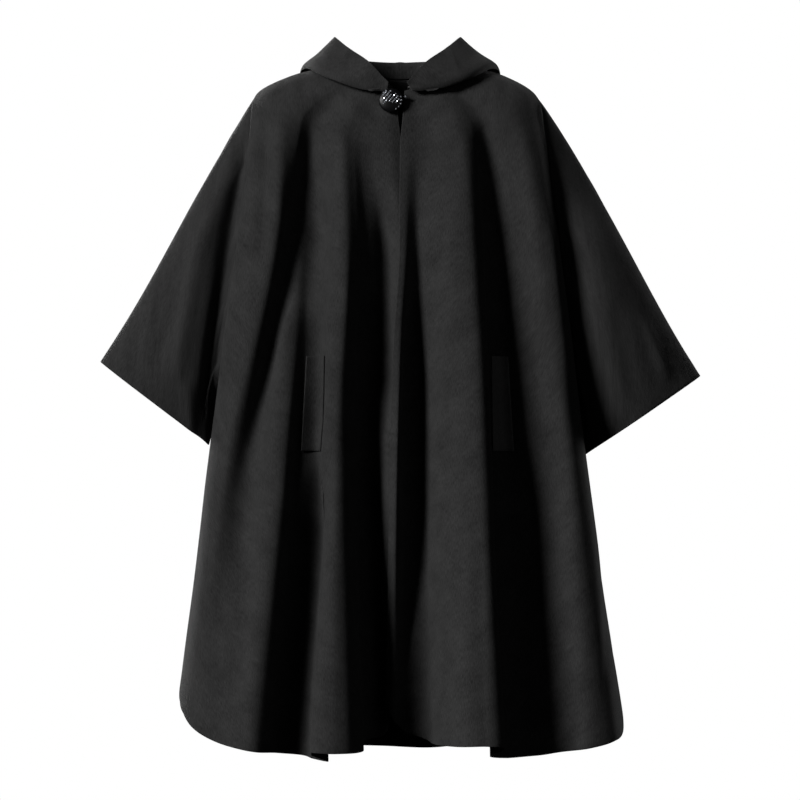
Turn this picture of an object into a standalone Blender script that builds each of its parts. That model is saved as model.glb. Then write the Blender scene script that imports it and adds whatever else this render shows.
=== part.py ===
"""A hooded wool cape coat, worn by nobody, as hollow walls of cloth.

+X is to the right of someone who faces the front, the front faces -Y and +Z is up.
The origin is the middle of the neck, level with the shoulders, where a wearer holds the coat up.
The tables are in millimetres. The right front and the right sleeve are on the wearer's right, at -X.
"""

import math
from collections import namedtuple

import bmesh
import bpy
import numpy as np
from mathutils import Vector
from mathutils.bvhtree import BVHTree

MM = 0.001
CLOTH = 2.0 * MM  # thickness of the wool
SEAM_GAP = 0.3 * MM  # left between two pieces that are sewn together
ARMHOLE_GAP = 0.45 * MM  # the sleeve's own part of the gap there, where two curved seams meet
SHARP_ANGLE = math.radians(50)  # edges sharper than this aren't shaded smooth
EDGE_COLUMNS = 2  # of the mesh, between a panel's first edge and its first fold line

# How far below the origin each row of the cloth's mesh lies at the centre front.
NECK_DROP, COLLAR_DROP, YOKE_DROP, CHEST_DROP, UNDERARM_DROP, HEM_DROP = 26, 60, 110, 250, 530, 945
POCKET_TOP_DROP = 395
SHOULDER_ROWS = (NECK_DROP, 42, COLLAR_DROP, 84)
ARMHOLE_ROWS = (YOKE_DROP, 135, 160, 190, 220, CHEST_DROP, 298, 346, POCKET_TOP_DROP, 440, 485)
SKIRT_ROWS = (UNDERARM_DROP, 580, 640, 700, 760, 815, 865, 905, HEM_DROP)
ROWS = SHOULDER_ROWS + ARMHOLE_ROWS + SKIRT_ROWS

# The cloth on the shoulders lies in rings round the neck, each as wide as the side knots below say.
# front and back are its depths at the centre, front_z and back_z its heights there.
Ring = namedtuple("Ring", "front back front_z back_z roundness")
RINGS = (
    Ring(72, 62, -26, -2, 2.0),
    Ring(88, 86, -60, -34, 2.2),
    Ring(103, 96, -110, -88, 2.5),
)

# The edges of the panels: the front edges, and the seams from the neck over the shoulder, down the
# armhole to the underarm and down the side to the hem.
Knot = namedtuple("Knot", "drop x y z")
RIGHT_FRONT_EDGE = (
    Knot(NECK_DROP, -4.5, -71.5, -26),
    Knot(COLLAR_DROP, -2.5, -86, -60),
    Knot(YOKE_DROP, 3, -99, -110),
    Knot(CHEST_DROP, 6, -118, -250),
    Knot(POCKET_TOP_DROP, -2, -122, -395),
    Knot(UNDERARM_DROP, -4, -122, -530),
    Knot(HEM_DROP, -8, -104, -892),
)
LEFT_FRONT_EDGE = (
    Knot(NECK_DROP, 6.5, -72, -26),
    Knot(COLLAR_DROP, 4, -89, -60),
    Knot(YOKE_DROP, 0, -104, -110),
    Knot(CHEST_DROP, -1, -123, -250),
    Knot(POCKET_TOP_DROP, -10, -130, -395),
    Knot(UNDERARM_DROP, -14, -131, -530),
    Knot(HEM_DROP, -20, -114, -884),
)
RIGHT_FRONT_SIDE = (
    Knot(NECK_DROP, -80, 0, 17),
    Knot(COLLAR_DROP, -150, 0, 1),
    Knot(YOKE_DROP, -204, 0, -28),
    Knot(135, -209, -26, -42),
    Knot(160, -211, -40, -78),
    Knot(190, -214, -47, -125),
    Knot(CHEST_DROP, -224, -50, -250),
    Knot(POCKET_TOP_DROP, -247, -42, -395),
    Knot(UNDERARM_DROP, -256, 0, -488),
    Knot(HEM_DROP, -309, 0, -852),
)
LEFT_FRONT_SIDE = (
    Knot(NECK_DROP, 80, 0, 17),
    Knot(COLLAR_DROP, 146, 0, 0),
    Knot(YOKE_DROP, 192, 0, -28),
    Knot(135, 199, -26, -42),
    Knot(160, 203, -40, -78),
    Knot(190, 208, -47, -125),
    Knot(CHEST_DROP, 219, -50, -250),
    Knot(POCKET_TOP_DROP, 242, -40, -395),
    Knot(UNDERARM_DROP, 250, 0, -496),
    Knot(HEM_DROP, 313, 0, -890),
)

# Each fold line runs from the neck to the hem. share is its place on the rings, on a front from its
# edge, 0, to the shoulder, 1. On the back it counts from the middle, negative on the wearer's right.
# yoke_out is how far it stands out of the last ring. Then come its x and y at three levels, its height
# at the hem, and how many mesh columns lie between it and the next line.
Fold = namedtuple(
    "Fold", "name share yoke_out chest_x chest_y underarm_x underarm_y hem_x hem_y hem_z columns"
)
RIGHT_FRONT_FOLDS = (
    Fold("placket", 0.07, 0, -10, -120, -15, -121, -20, -103, -922, 2),
    Fold("centre_valley", 0.20, -3, -30, -101, -33, -96, -37, -92, -932, 2),
    Fold("flute_back", 0.27, -1, -46, -105, -52, -103, -51, -116, -938, 2),
    Fold("flute_side", 0.33, 3, -58, -121, -68, -133, -46, -152, -944, 2),
    Fold("flute_crest", 0.40, 7, -73, -132, -88, -157, -90, -192, -944, 3),
    Fold("flute_edge", 0.47, 3, -95, -122, -111, -147, -131, -174, -944, 1),
    Fold("under_flute", 0.52, -5, -107, -103, -103, -116, -101, -124, -960, 2),
    Fold("pocket_valley", 0.57, -12, -116, -91, -121, -96, -139, -100, -955, 2),
    Fold("pocket_edge", 0.61, -11, -126, -86, -139, -95, -168, -106, -950, 2),
    Fold("side_crest", 0.65, -6, -138, -88, -160, -113, -204, -128, -946, 2),
    Fold("slant_valley", 0.69, 1, -153, -97, -203, -82, -256, -110, -934, 2),
    Fold("arm_crest", 0.77, 9, -177, -115, -240, -92, -292, -84, -914, 3),
    Fold("arm_edge", 0.93, 1, -228, -84, -266, -52, -310, -40, -880, 2),
)
LEFT_FRONT_FOLDS = (
    Fold("placket", 0.05, 0, 8, -122, -3, -137, -10, -118, -904, 2),
    Fold("centre_valley", 0.13, -2, 22, -110, 12, -108, 14, -96, -926, 2),
    Fold("flute_slope", 0.23, 0, 41, -120, 40, -122, 38, -118, -936, 2),
    Fold("flute_crest", 0.35, 6, 72, -137, 80, -157, 76, -172, -936, 2),
    Fold("flute_side", 0.45, 8, 99, -138, 113, -166, 120, -192, -934, 2),
    Fold("flute_edge", 0.52, 1, 114, -122, 127, -150, 146, -170, -938, 1),
    Fold("under_flute", 0.565, -7, 122, -104, 119, -120, 129, -128, -953, 2),
    Fold("pocket_valley", 0.61, -12, 132, -91, 141, -94, 157, -100, -957, 2),
    Fold("pocket_edge", 0.65, -10, 142, -87, 160, -89, 190, -96, -955, 2),
    Fold("side_slope", 0.72, -2, 165, -93, 196, -98, 228, -104, -949, 2),
    Fold("side_crest", 0.83, 6, 194, -107, 232, -106, 264, -108, -943, 2),
    Fold("arm_slope", 0.90, 5, 212, -98, 252, -78, 297, -74, -935, 2),
    Fold("arm_edge", 0.95, 1, 222, -74, 260, -38, 313, -30, -924, 2),
)
BACK_FOLDS = (
    Fold("right_arm_edge", -0.92, 0, -221, 70, -264, 44, -312, 46, -900, 2),
    Fold("right_side_crest", -0.80, 3, -190, 90, -232, 98, -278, 122, -938, 3),
    Fold("right_side_valley", -0.64, -5, -148, 84, -182, 88, -218, 98, -950, 3),
    Fold("right_blade_crest", -0.46, 4, -108, 104, -132, 138, -156, 178, -956, 3),
    Fold("right_blade_valley", -0.28, -3, -64, 92, -76, 98, -88, 106, -955, 3),
    Fold("centre_crest", -0.08, 3, -20, 104, -22, 136, -26, 174, -962, 3),
    Fold("centre_valley", 0.14, -3, 30, 92, 38, 98, 44, 106, -959, 3),
    Fold("left_blade_crest", 0.36, 4, 82, 104, 100, 142, 120, 184, -958, 3),
    Fold("left_side_valley", 0.58, -5, 134, 86, 164, 90, 194, 102, -952, 3),
    Fold("left_side_crest", 0.78, 3, 184, 92, 224, 102, 266, 132, -942, 3),
    Fold("left_arm_edge", 0.92, 0, 217, 70, 260, 42, 312, 48, -910, 2),
)

# The sleeves hang from the armholes. Each cuff's ring goes from its top, over the arm, to its bottom.
# Its front and back layers stand that deep apart there, and round out between the armhole and the cuff.
# The sleeve's top line rounds over the end of the shoulder by top_swell, and hollows by top_sag below.
Cuff = namedtuple("Cuff", "top bottom front_depth back_depth top_swell top_sag")
RIGHT_CUFF = Cuff((-424, 2, -405), (-269, 0, -523), 45, 42, 3, 6)
LEFT_CUFF = Cuff((425, 2, -425), (262, 0, -536), 46, 42, 9, 5)
SLEEVE_COLUMNS = 9
SLEEVE_SWELL = 16
UNDERARM_EASE = 0.35  # the share of the cuff's depth that is taken away towards its bottom

# The hood is folded down. From the neck seam its cloth rises, turns out and lies down to its lower fold,
# and comes up again to the edge that frames the face. angle goes round the neck from the front.
HoodStation = namedtuple(
    "HoodStation", "angle rise fold_x fold_y fold_z edge_x edge_y edge_z swell turn"
)
HOOD_STATIONS = (
    HoodStation(8, 2, -17, -85, -28, -17, -88, -16, 0, 3),
    HoodStation(26, 5, -46, -82, -28, -42, -72, 13, 6, 5),
    HoodStation(58, 8, -100, -64, -9, -72, -41, 36, 5, 6),
    HoodStation(90, 10, -132, -8, 9, -92, -8, 54, 1, 5),
    HoodStation(118, 13, -143, 58, -4, -84, 42, 46, 5, 7),
    HoodStation(146, 18, -118, 120, -114, -54, 98, 28, 22, 12),
    HoodStation(180, 23, 0, 134, -240, 0, 126, 12, 34, 16),
)
HOOD_COLUMNS = 3  # between two stations
HOOD_ROWS = (2, 3, 3, 2, 2, 3, 4)
HOOD_STAND = 3  # how far the cloth leans out while it rises from the neck seam
LEFT_EDGE_SHIFT = 7  # the left half's edge stands this much nearer to the neck
INNER_SWELL = (0.2, 0.6)  # how far the layer below stands out and up, as shares of a station's swell
OUTER_RISE = 0.2  # the layer above stands out by all of it, and up by this share

WELT_THICKNESS = 2.2
WELT_LIFT = 2.4  # how far the welt's free edge stands off the front

BUTTON_DIAMETER, BUTTON_RIM, BUTTON_DOME = 34, 2.6, 5.0
BUTTON_X, BUTTON_Z = -12.5, -42  # its middle
BUTTON_TILT = 10  # degrees, a little less than the chest slopes there
BUTTON_SIDES, DOME_STEPS = 28, 4
SHANK_RADIUS, SHANK_LENGTH = 3, 7.4
LINK_X, LINK_Z = (-6, 11), -37  # its two ends, and its height
LINK_WIDTH, LINK_THICKNESS, LINK_ROUNDING = 5, 1.6, 0.5

WOOL_BLACK = (0.012, 0.012, 0.013, 1)
BUTTON_BLACK = (0.01, 0.01, 0.011, 1)


def clear_scene():
    for thing in list(bpy.data.objects):
        bpy.data.objects.remove(thing)


def material(name, colour, roughness, metallic=0.0):
    made = bpy.data.materials.new(name)
    made.use_nodes = True
    shader = made.node_tree.nodes["Principled BSDF"]
    shader.inputs["Base Color"].default_value = colour
    shader.inputs["Roughness"].default_value = roughness
    shader.inputs["Metallic"].default_value = metallic
    return made


def unit(vectors):
    return vectors / np.maximum(np.linalg.norm(vectors, axis=-1, keepdims=True), 1e-12)


def hermite(start, start_slope, end, end_slope, t):
    """A cubic from start to end, with its slopes given per unit of t."""
    return (
        (1 + 2 * t) * (1 - t) ** 2 * start
        + t * (1 - t) ** 2 * start_slope
        + t**2 * (3 - 2 * t) * end
        - t**2 * (1 - t) * end_slope
    )


def hermite_direction(start, start_slope, end, end_slope, t):
    """The direction along that cubic at t."""
    return (
        6 * (t**2 - t) * (start - end)
        + (3 * t**2 - 4 * t + 1) * start_slope
        + (3 * t**2 - 2 * t) * end_slope
    )


def knot_slopes(at, values):
    """Slopes of a smooth curve through the knots that never swings past them."""
    steps = np.diff(values, axis=0) / np.diff(at)[:, None]
    slopes = np.empty_like(values)
    slopes[0], slopes[-1] = steps[0], steps[-1]
    before, after = steps[:-1], steps[1:]
    same_way = before * after > 0
    total = np.where(same_way, before + after, 1)
    slopes[1:-1] = np.where(same_way, 2 * before * after / total, 0)
    return slopes


def down_knots(knots):
    """A line of points in metres, one at each row of the mesh, on a smooth curve through the knots."""
    at = np.array([knot.drop for knot in knots], float)
    values = np.array([knot[1:] for knot in knots], float)
    slopes = knot_slopes(at, values)
    rows = np.array(ROWS, float)
    i = np.clip(np.searchsorted(at, rows, side="right") - 1, 0, len(at) - 2)
    span = at[i + 1] - at[i]
    t = ((rows - at[i]) / span)[:, None]
    span = span[:, None]
    return hermite(values[i], slopes[i] * span, values[i + 1], slopes[i + 1] * span, t) * MM


def ring_height(share, centre_z, side_z):
    return centre_z + (side_z - centre_z) * share**2


def ring_knot(drop, ring, side_knot, x, out, is_back):
    """The point of a shoulder ring at x, moved out of the ring."""
    share = min(abs(x / side_knot.x), 1.0)
    depth = (ring.back if is_back else ring.front) + out
    y = depth * (1 - share**ring.roundness) ** (1 / ring.roundness)
    z = ring_height(share, ring.back_z if is_back else ring.front_z, side_knot.z)
    return Knot(drop, x, y if is_back else -y, z)


def fold_line(fold, edge=None):
    """A fold line's points from the neck to the hem. The back's folds have no edge to start from."""
    is_back = edge is None
    on_the_right = edge is RIGHT_FRONT_EDGE or (is_back and fold.share < 0)
    side = RIGHT_FRONT_SIDE if on_the_right else LEFT_FRONT_SIDE
    knots = []
    for k, ring in enumerate(RINGS):
        start = 0 if is_back else edge[k].x
        x = start + (side[k].x - start) * abs(fold.share)
        knots.append(ring_knot(side[k].drop, ring, side[k], x, fold.yoke_out * k / 2, is_back))
    knots += [
        Knot(CHEST_DROP, fold.chest_x, fold.chest_y, -CHEST_DROP),
        Knot(UNDERARM_DROP, fold.underarm_x, fold.underarm_y, -UNDERARM_DROP),
        Knot(HEM_DROP, fold.hem_x, fold.hem_y, fold.hem_z),
    ]
    return down_knots(knots)


def back_side(knots):
    """The back's side seam from the front's: the same line, but behind the arm along the armhole."""
    return tuple(knot._replace(y=abs(knot.y)) for knot in knots)


def across(lines, counts, before, after):
    """A smooth surface across lines of points, each (rows, 3), with counts columns between each two.

    before and after are the lines beyond its two ends, which only steer the cloth there.
    It gives the points and the directions across, each (rows, columns, 3).
    """
    lines = [before] + list(lines) + [after]
    widths = [np.linalg.norm(b - a, axis=1, keepdims=True) for a, b in zip(lines, lines[1:])]
    spans = [width**0.5 + 1e-9 for width in widths]
    slopes = [None]
    for k in range(1, len(lines) - 1):
        arriving = (lines[k] - lines[k - 1]) / spans[k - 1]
        leaving = (lines[k + 1] - lines[k]) / spans[k]
        both = spans[k - 1] + spans[k]
        slopes.append((arriving * spans[k] + leaving * spans[k - 1]) / both)
    points, directions = [], []
    for k, count in enumerate(counts, start=1):
        piece = (lines[k], slopes[k] * spans[k], lines[k + 1], slopes[k + 1] * spans[k])
        last = 1 if k == len(counts) else 0
        for step in range(count + last):
            points.append(hermite(*piece, step / count))
            directions.append(hermite_direction(*piece, step / count))
    return np.stack(points, axis=1), np.stack(directions, axis=1)


class Panel:
    """A front or the back, from its first edge to its last, as a grid of outer points with normals."""

    def __init__(self, first, folds, fold_lines, last, before, after, outward):
        counts = [EDGE_COLUMNS] + [fold.columns for fold in folds]
        self.column = {fold.name: sum(counts[: k + 1]) for k, fold in enumerate(folds)}
        self.points, directions = across([first] + fold_lines + [last], counts, before, after)
        self.normals = unit(np.cross(directions, np.gradient(self.points, axis=0))) * outward
        self.inward = {0: unit(directions[:, 0]), -1: -unit(directions[:, -1])}

    def draw_in(self, column):
        """Leaves this piece's half of the gap at a seam."""
        self.points[:, column] += self.inward[column] * SEAM_GAP / 2

    def wall(self, name, finish):
        return wall(name, self.points, self.points - self.normals * CLOTH, finish)


def front_panel(edge_knots, folds, side_knots, beyond_side, outward):
    edge, side = down_knots(edge_knots), down_knots(side_knots)
    lines = [fold_line(fold, edge_knots) for fold in folds]
    return Panel(edge, folds, lines, side, 2 * edge - lines[0], beyond_side, outward)


def body_panels():
    """The two fronts and the back."""
    lines = [fold_line(fold) for fold in BACK_FOLDS]
    right = front_panel(RIGHT_FRONT_EDGE, RIGHT_FRONT_FOLDS, RIGHT_FRONT_SIDE, lines[0], 1)
    left = front_panel(LEFT_FRONT_EDGE, LEFT_FRONT_FOLDS, LEFT_FRONT_SIDE, lines[-1], -1)
    beyond_right = fold_line(RIGHT_FRONT_FOLDS[-1], RIGHT_FRONT_EDGE)
    beyond_left = fold_line(LEFT_FRONT_FOLDS[-1], LEFT_FRONT_EDGE)
    first, last = down_knots(back_side(RIGHT_FRONT_SIDE)), down_knots(back_side(LEFT_FRONT_SIDE))
    back = Panel(first, BACK_FOLDS, lines, last, beyond_right, beyond_left, 1)
    return right, left, back


def cuff_line(cuff, shares, depth):
    """Points down one side of a cuff, from its top to its bottom: a drop that is fuller near the arm."""
    top, bottom = np.array(cuff.top, float), np.array(cuff.bottom, float)
    down = (1 - np.cos(np.pi * shares)) / 2
    points = top + (bottom - top) * down[:, None]
    points[:, 1] += depth * np.sin(np.pi * shares) * (1 - UNDERARM_EASE * down)
    return points * MM


class Sleeve:
    """A sleeve lofted from the armhole's ring to the cuff's ring. side is -1 on the wearer's right."""

    def __init__(self, down_front, down_back, cuff, side):
        armhole = np.concatenate([down_front, down_back[-2:0:-1]])
        lengths = np.linalg.norm(np.diff(down_front, axis=0), axis=1)
        shares = np.concatenate([[0], np.cumsum(lengths)]) / lengths.sum()
        cuff_back = cuff_line(cuff, shares, cuff.back_depth)
        ring = np.concatenate([cuff_line(cuff, shares, -cuff.front_depth), cuff_back[-2:0:-1]])
        around = np.concatenate([shares, shares[-2:0:-1]])
        facing = np.concatenate([-np.ones(len(shares)), np.ones(len(shares) - 2)])
        rings = []
        for t in np.linspace(0, 1, SLEEVE_COLUMNS + 1):
            points = armhole + (ring - armhole) * t
            points[:, 1] += facing * SLEEVE_SWELL * MM * np.sin(np.pi * t) * np.sin(np.pi * around)
            lift = np.sin(np.pi * t) * ((1 - t) * cuff.top_swell - t * cuff.top_sag)
            points += np.outer(lift * MM * (1 - around) ** 4, (side, 0, 1))
            rings.append(points)
        self.points = np.stack(rings)
        self.along = unit(np.gradient(self.points, axis=0))
        round_it = np.roll(self.points, -1, axis=1) - np.roll(self.points, 1, axis=1)
        self.normals = unit(np.cross(round_it, self.along)) * side

    def draw_in(self):
        self.points[0] += self.along[0] * ARMHOLE_GAP

    def wall(self, name, finish):
        return wall(name, self.points, self.points - self.normals * CLOTH, finish, closed=True)


def share_normals(*places):
    """Gives the pieces that meet along a seam the same normals there, so that their walls are mitred."""
    shared = unit(sum(piece.normals[place] for piece, place in places))
    for piece, place in places:
        piece.normals[place] = shared


def sew_in_sleeve(front, back, back_column, cuff, side):
    """Makes a sleeve, and lines up the seams of the shoulder, the armhole and the side."""
    top, bottom = len(SHOULDER_ROWS), len(SHOULDER_ROWS + ARMHOLE_ROWS)
    armhole = slice(top, bottom + 1)
    sleeve = Sleeve(front.points[armhole, -1], back.points[armhole, back_column], cuff, side)
    depth = bottom - top
    between, round_front, round_back = slice(top + 1, bottom), slice(1, depth), slice(-1, depth, -1)
    share_normals((front, (between, -1)), (sleeve, (0, round_front)))
    share_normals((back, (between, back_column)), (sleeve, (0, round_back)))
    share_normals((front, (top, -1)), (back, (top, back_column)), (sleeve, (0, 0)))
    for rows in (slice(0, top), slice(bottom, None)):
        share_normals((front, (rows, -1)), (back, (rows, back_column)))
    front.draw_in(-1)
    back.draw_in(back_column)
    sleeve.draw_in()
    return sleeve


def neck_point(turn):
    """A point of the wearer's right half of the neck seam, turn radians from the front."""
    half_width, ring, is_back = -RIGHT_FRONT_SIDE[0].x, RINGS[0], turn > math.pi / 2
    depth, centre_z = (ring.back, ring.back_z) if is_back else (ring.front, ring.front_z)
    z = ring_height(math.sin(turn), centre_z, RIGHT_FRONT_SIDE[0].z)
    return np.array((-half_width * math.sin(turn), -depth * math.cos(turn), z + SEAM_GAP / MM))


def hood_section(station, is_left):
    """The hood's cloth at one station, from the neck seam, round the lower fold, to the face edge."""
    turn = math.radians(station.angle)
    out = np.array((-math.sin(turn), -math.cos(turn), 0))
    seam = neck_point(turn)
    roll = seam + out * HOOD_STAND + (0, 0, station.rise)
    fold = np.array((station.fold_x, station.fold_y, station.fold_z), float)
    shift = LEFT_EDGE_SHIFT * min(1, (180 - station.angle) / 90) if is_left else 0
    edge = np.array((station.edge_x + shift, station.edge_y, station.edge_z), float)
    inner = (roll + fold) / 2 + (out * INNER_SWELL[0] + (0, 0, INNER_SWELL[1])) * station.swell
    outer = (fold + edge) / 2 + (out + (0, 0, OUTER_RISE)) * station.swell
    inside = unit(unit(inner - fold) + unit(outer - fold))
    up = outer - fold
    up = unit(up - inside * (up @ inside))
    under = fold + (inside - up) * station.turn
    over = fold + (inside + up) * station.turn
    return np.stack([seam, roll, inner, under, fold, over, outer, edge]) * MM


def hood_grid(is_left):
    """Half of the hood: rows from the neck seam to the face edge, columns from the front to the back."""
    sections = [hood_section(station, is_left) for station in HOOD_STATIONS]
    beyond = sections[-2] * (-1, 1, 1)
    counts = [HOOD_COLUMNS] * (len(sections) - 1)
    rows, _ = across(sections, counts, 2 * sections[0] - sections[1], beyond)
    points, down = across(rows, HOOD_ROWS, 2 * rows[0] - rows[1], 2 * rows[-1] - rows[-2])
    points, down = points.transpose(1, 0, 2), down.transpose(1, 0, 2)
    normals = np.cross(down, np.gradient(points, axis=1))
    normals[:, -1, 0] = 0
    points[:, -1, 0] -= SEAM_GAP / 2
    if is_left:
        points, normals = points * (-1, 1, 1), normals * (-1, 1, 1)
    return points, unit(normals)


def hood_wall(name, is_left, finish):
    points, normals = hood_grid(is_left)
    return wall(name, points, points - normals * CLOTH, finish)


def welt_wall(name, panel, finish):
    """A pocket welt, made from the front's own points between the flute and the pocket's edge."""
    rows = slice(ROWS.index(POCKET_TOP_DROP), ROWS.index(UNDERARM_DROP) + 1)
    columns = slice(panel.column["under_flute"] + 1, panel.column["pocket_edge"] + 1)
    points, normals = panel.points[rows, columns], panel.normals[rows, columns]
    lift = np.linspace(SEAM_GAP, WELT_LIFT * MM, points.shape[1])[None, :, None]
    inner = points + normals * lift
    return wall(name, inner + normals * WELT_THICKNESS * MM, inner, finish)


def front_depth(panel, x, z):
    """The y of the panel's outer surface at a place seen from the front, all in millimetres."""
    rows, columns = panel.points.shape[:2]
    first = np.arange(rows * columns).reshape(rows, columns)[:-1, :-1].ravel()
    faces = np.stack([first, first + 1, first + columns + 1, first + columns], axis=1)
    tree = BVHTree.FromPolygons(panel.points.reshape(-1, 3).tolist(), faces.tolist())
    return tree.ray_cast(Vector((x * MM, -1, z * MM)), Vector((0, 1, 0)))[0].y / MM


def clasp_button(panel, finish):
    """A domed button with a flat back, and the shank that it is sewn on by."""
    radius, tilt = BUTTON_DIAMETER / 2, math.radians(BUTTON_TILT)
    back = SHANK_LENGTH
    profile = [(0, back), (SHANK_RADIUS, back), (SHANK_RADIUS, 0)]
    profile += [(radius, 0), (radius, -BUTTON_RIM)]
    for step in range(1, DOME_STEPS + 1):
        turn = math.pi / 2 * step / DOME_STEPS
        profile.append((radius * math.cos(turn), -BUTTON_RIM - BUTTON_DOME * math.sin(turn)))
    mesh = bmesh.new()
    verts = [mesh.verts.new((r * MM, y * MM, 0)) for r, y in profile]
    edges = [mesh.edges.new(pair) for pair in zip(verts, verts[1:])]
    bmesh.ops.spin(
        mesh,
        geom=verts + edges,
        axis=(0, 1, 0),
        cent=(0, 0, 0),
        angle=math.tau,
        steps=BUTTON_SIDES,
        use_merge=True,
    )
    bmesh.ops.remove_doubles(mesh, verts=mesh.verts, dist=1e-6)
    bmesh.ops.recalc_face_normals(mesh, faces=mesh.faces)
    made = finished("clasp_button", mesh, finish)
    seat = min(front_depth(panel, BUTTON_X, BUTTON_Z + z) for z in (-SHANK_RADIUS, SHANK_RADIUS))
    y = seat - SEAM_GAP / MM - back * math.cos(tilt) - SHANK_RADIUS * math.sin(tilt)
    made.location = Vector((BUTTON_X, y, BUTTON_Z)) * MM
    made.rotation_euler = (-tilt, 0, 0)
    return made


def clasp_link(left, button, finish):
    """A short bar from behind the button to the left front's edge."""
    leaning = (LINK_Z - BUTTON_Z) * math.tan(math.radians(BUTTON_TILT))
    start_y = button.location.y / MM + 1.5 * LINK_THICKNESS + 2 * SEAM_GAP / MM - leaning
    end_y = min(front_depth(left, LINK_X[1], LINK_Z + z) for z in (-LINK_WIDTH, LINK_WIDTH))
    start = Vector((LINK_X[0], start_y, LINK_Z))
    end = Vector((LINK_X[1], end_y - LINK_THICKNESS, LINK_Z))
    mesh = bmesh.new()
    bmesh.ops.create_cube(mesh, size=1)
    size = Vector(((end - start).length, LINK_THICKNESS, LINK_WIDTH)) * MM
    bmesh.ops.scale(mesh, vec=size, verts=mesh.verts)
    bmesh.ops.bevel(
        mesh,
        geom=mesh.edges[:],
        offset=LINK_ROUNDING * MM,
        segments=2,
        profile=0.5,
        affect="EDGES",
    )
    made = finished("clasp_link", mesh, finish)
    made.location = (start + end) / 2 * MM
    made.rotation_euler = (0, 0, math.atan2(end.y - start.y, end.x - start.x))
    return made


def wall(name, outer, inner, finish, closed=False):
    """A wall of cloth between two grids of points. closed joins its last column to its first."""
    rows, columns = outer.shape[:2]
    mesh = bmesh.new()
    out, back = ([list(map(mesh.verts.new, row)) for row in grid.tolist()] for grid in (outer, inner))
    steps = [(c, (c + 1) % columns) for c in range(columns if closed else columns - 1)]
    for r in range(rows - 1):
        for c, d in steps:
            mesh.faces.new((out[r][c], out[r + 1][c], out[r + 1][d], out[r][d]))
            mesh.faces.new((back[r][c], back[r][d], back[r + 1][d], back[r + 1][c]))
        if not closed:
            mesh.faces.new((out[r][0], back[r][0], back[r + 1][0], out[r + 1][0]))
            mesh.faces.new((out[r][-1], out[r + 1][-1], back[r + 1][-1], back[r][-1]))
    for c, d in steps:
        mesh.faces.new((out[0][c], out[0][d], back[0][d], back[0][c]))
        mesh.faces.new((out[-1][c], back[-1][c], back[-1][d], out[-1][d]))
    bmesh.ops.recalc_face_normals(mesh, faces=mesh.faces)
    return finished(name, mesh, finish)


def finished(name, mesh, finish):
    """An object of that name from a bmesh, shaded smooth."""
    data = bpy.data.meshes.new(name)
    mesh.to_mesh(data)
    mesh.free()
    data.materials.append(finish)
    data.shade_smooth()
    data.set_sharp_from_angle(angle=SHARP_ANGLE)
    made = bpy.data.objects.new(name, data)
    bpy.context.scene.collection.objects.link(made)
    return made


def main():
    clear_scene()
    wool = material("black_wool", WOOL_BLACK, 0.9)
    glass = material("black_glass", BUTTON_BLACK, 0.25)
    right, left, back = body_panels()
    right_sleeve = sew_in_sleeve(right, back, 0, RIGHT_CUFF, -1)
    left_sleeve = sew_in_sleeve(left, back, -1, LEFT_CUFF, 1)
    for name, piece in (
        ("front_right", right),
        ("front_left", left),
        ("back", back),
        ("sleeve_right", right_sleeve),
        ("sleeve_left", left_sleeve),
    ):
        piece.wall(name, wool)
    hood_wall("hood_right", False, wool)
    hood_wall("hood_left", True, wool)
    welt_wall("pocket_welt_right", right, wool)
    welt_wall("pocket_welt_left", left, wool)
    clasp_link(left, clasp_button(right, glass), glass)


main()
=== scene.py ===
"""The looks of a black hooded cape coat of brushed wool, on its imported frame.

Sizes in the tables and in the clasp are millimetres, everywhere else metres. The coat's front faces -Y
and +Z is up. Each piece of cloth is a shell: a grid of points worked out from fold lines, moved out and in
by its creases and seams, and given the wool's thickness. Right and left are the wearer's.
"""

import logging
import math
from dataclasses import dataclass, field, replace
from enum import Enum

import bmesh
import bpy
import numpy as np
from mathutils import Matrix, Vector


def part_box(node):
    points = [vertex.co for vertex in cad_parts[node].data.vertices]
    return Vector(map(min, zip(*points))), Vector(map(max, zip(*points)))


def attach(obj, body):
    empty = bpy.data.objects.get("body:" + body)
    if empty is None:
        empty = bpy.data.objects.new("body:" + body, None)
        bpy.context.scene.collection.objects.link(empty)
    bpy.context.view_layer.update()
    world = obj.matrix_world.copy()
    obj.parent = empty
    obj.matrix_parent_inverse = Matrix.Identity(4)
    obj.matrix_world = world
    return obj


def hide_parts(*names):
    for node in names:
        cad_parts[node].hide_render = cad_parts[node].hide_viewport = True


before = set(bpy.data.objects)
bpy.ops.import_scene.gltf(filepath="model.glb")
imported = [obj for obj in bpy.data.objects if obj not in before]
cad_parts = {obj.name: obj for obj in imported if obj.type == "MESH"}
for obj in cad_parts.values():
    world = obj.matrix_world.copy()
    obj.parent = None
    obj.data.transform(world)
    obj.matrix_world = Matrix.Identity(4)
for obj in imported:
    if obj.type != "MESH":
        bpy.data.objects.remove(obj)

LOG = logging.getLogger("coat")
MM = 0.001
BODY = "root"

CLOTH = 2.0 * MM  # thickness of the wool
EDGE_ROUND = 0.7 * MM  # how far a cloth's round edge stands out past its last thread
SEAM_GAP = 0.3 * MM
SEAM_OVERLAP = 0.4 * MM  # by which two sewn edges press into each other, so that no light comes through
SEAM_DENT = 0.8 * MM  # how deep a sewn seam pulls the cloth in
DENT_WIDTH = 4.5 * MM  # how wide the cloth is pulled in beside it
CREASE_REACH = 16 * MM  # how near to a sewn edge a crease dies out
WAVE_REACH = 30 * MM  # and how near to one the cloth's unevenness does
LEVEL_REACH = 15 * MM  # how far from the side seams' plane a level crease has taken hold
ROW_STEP = 5.0  # millimetres of drop between two rows of the fine mesh

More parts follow.
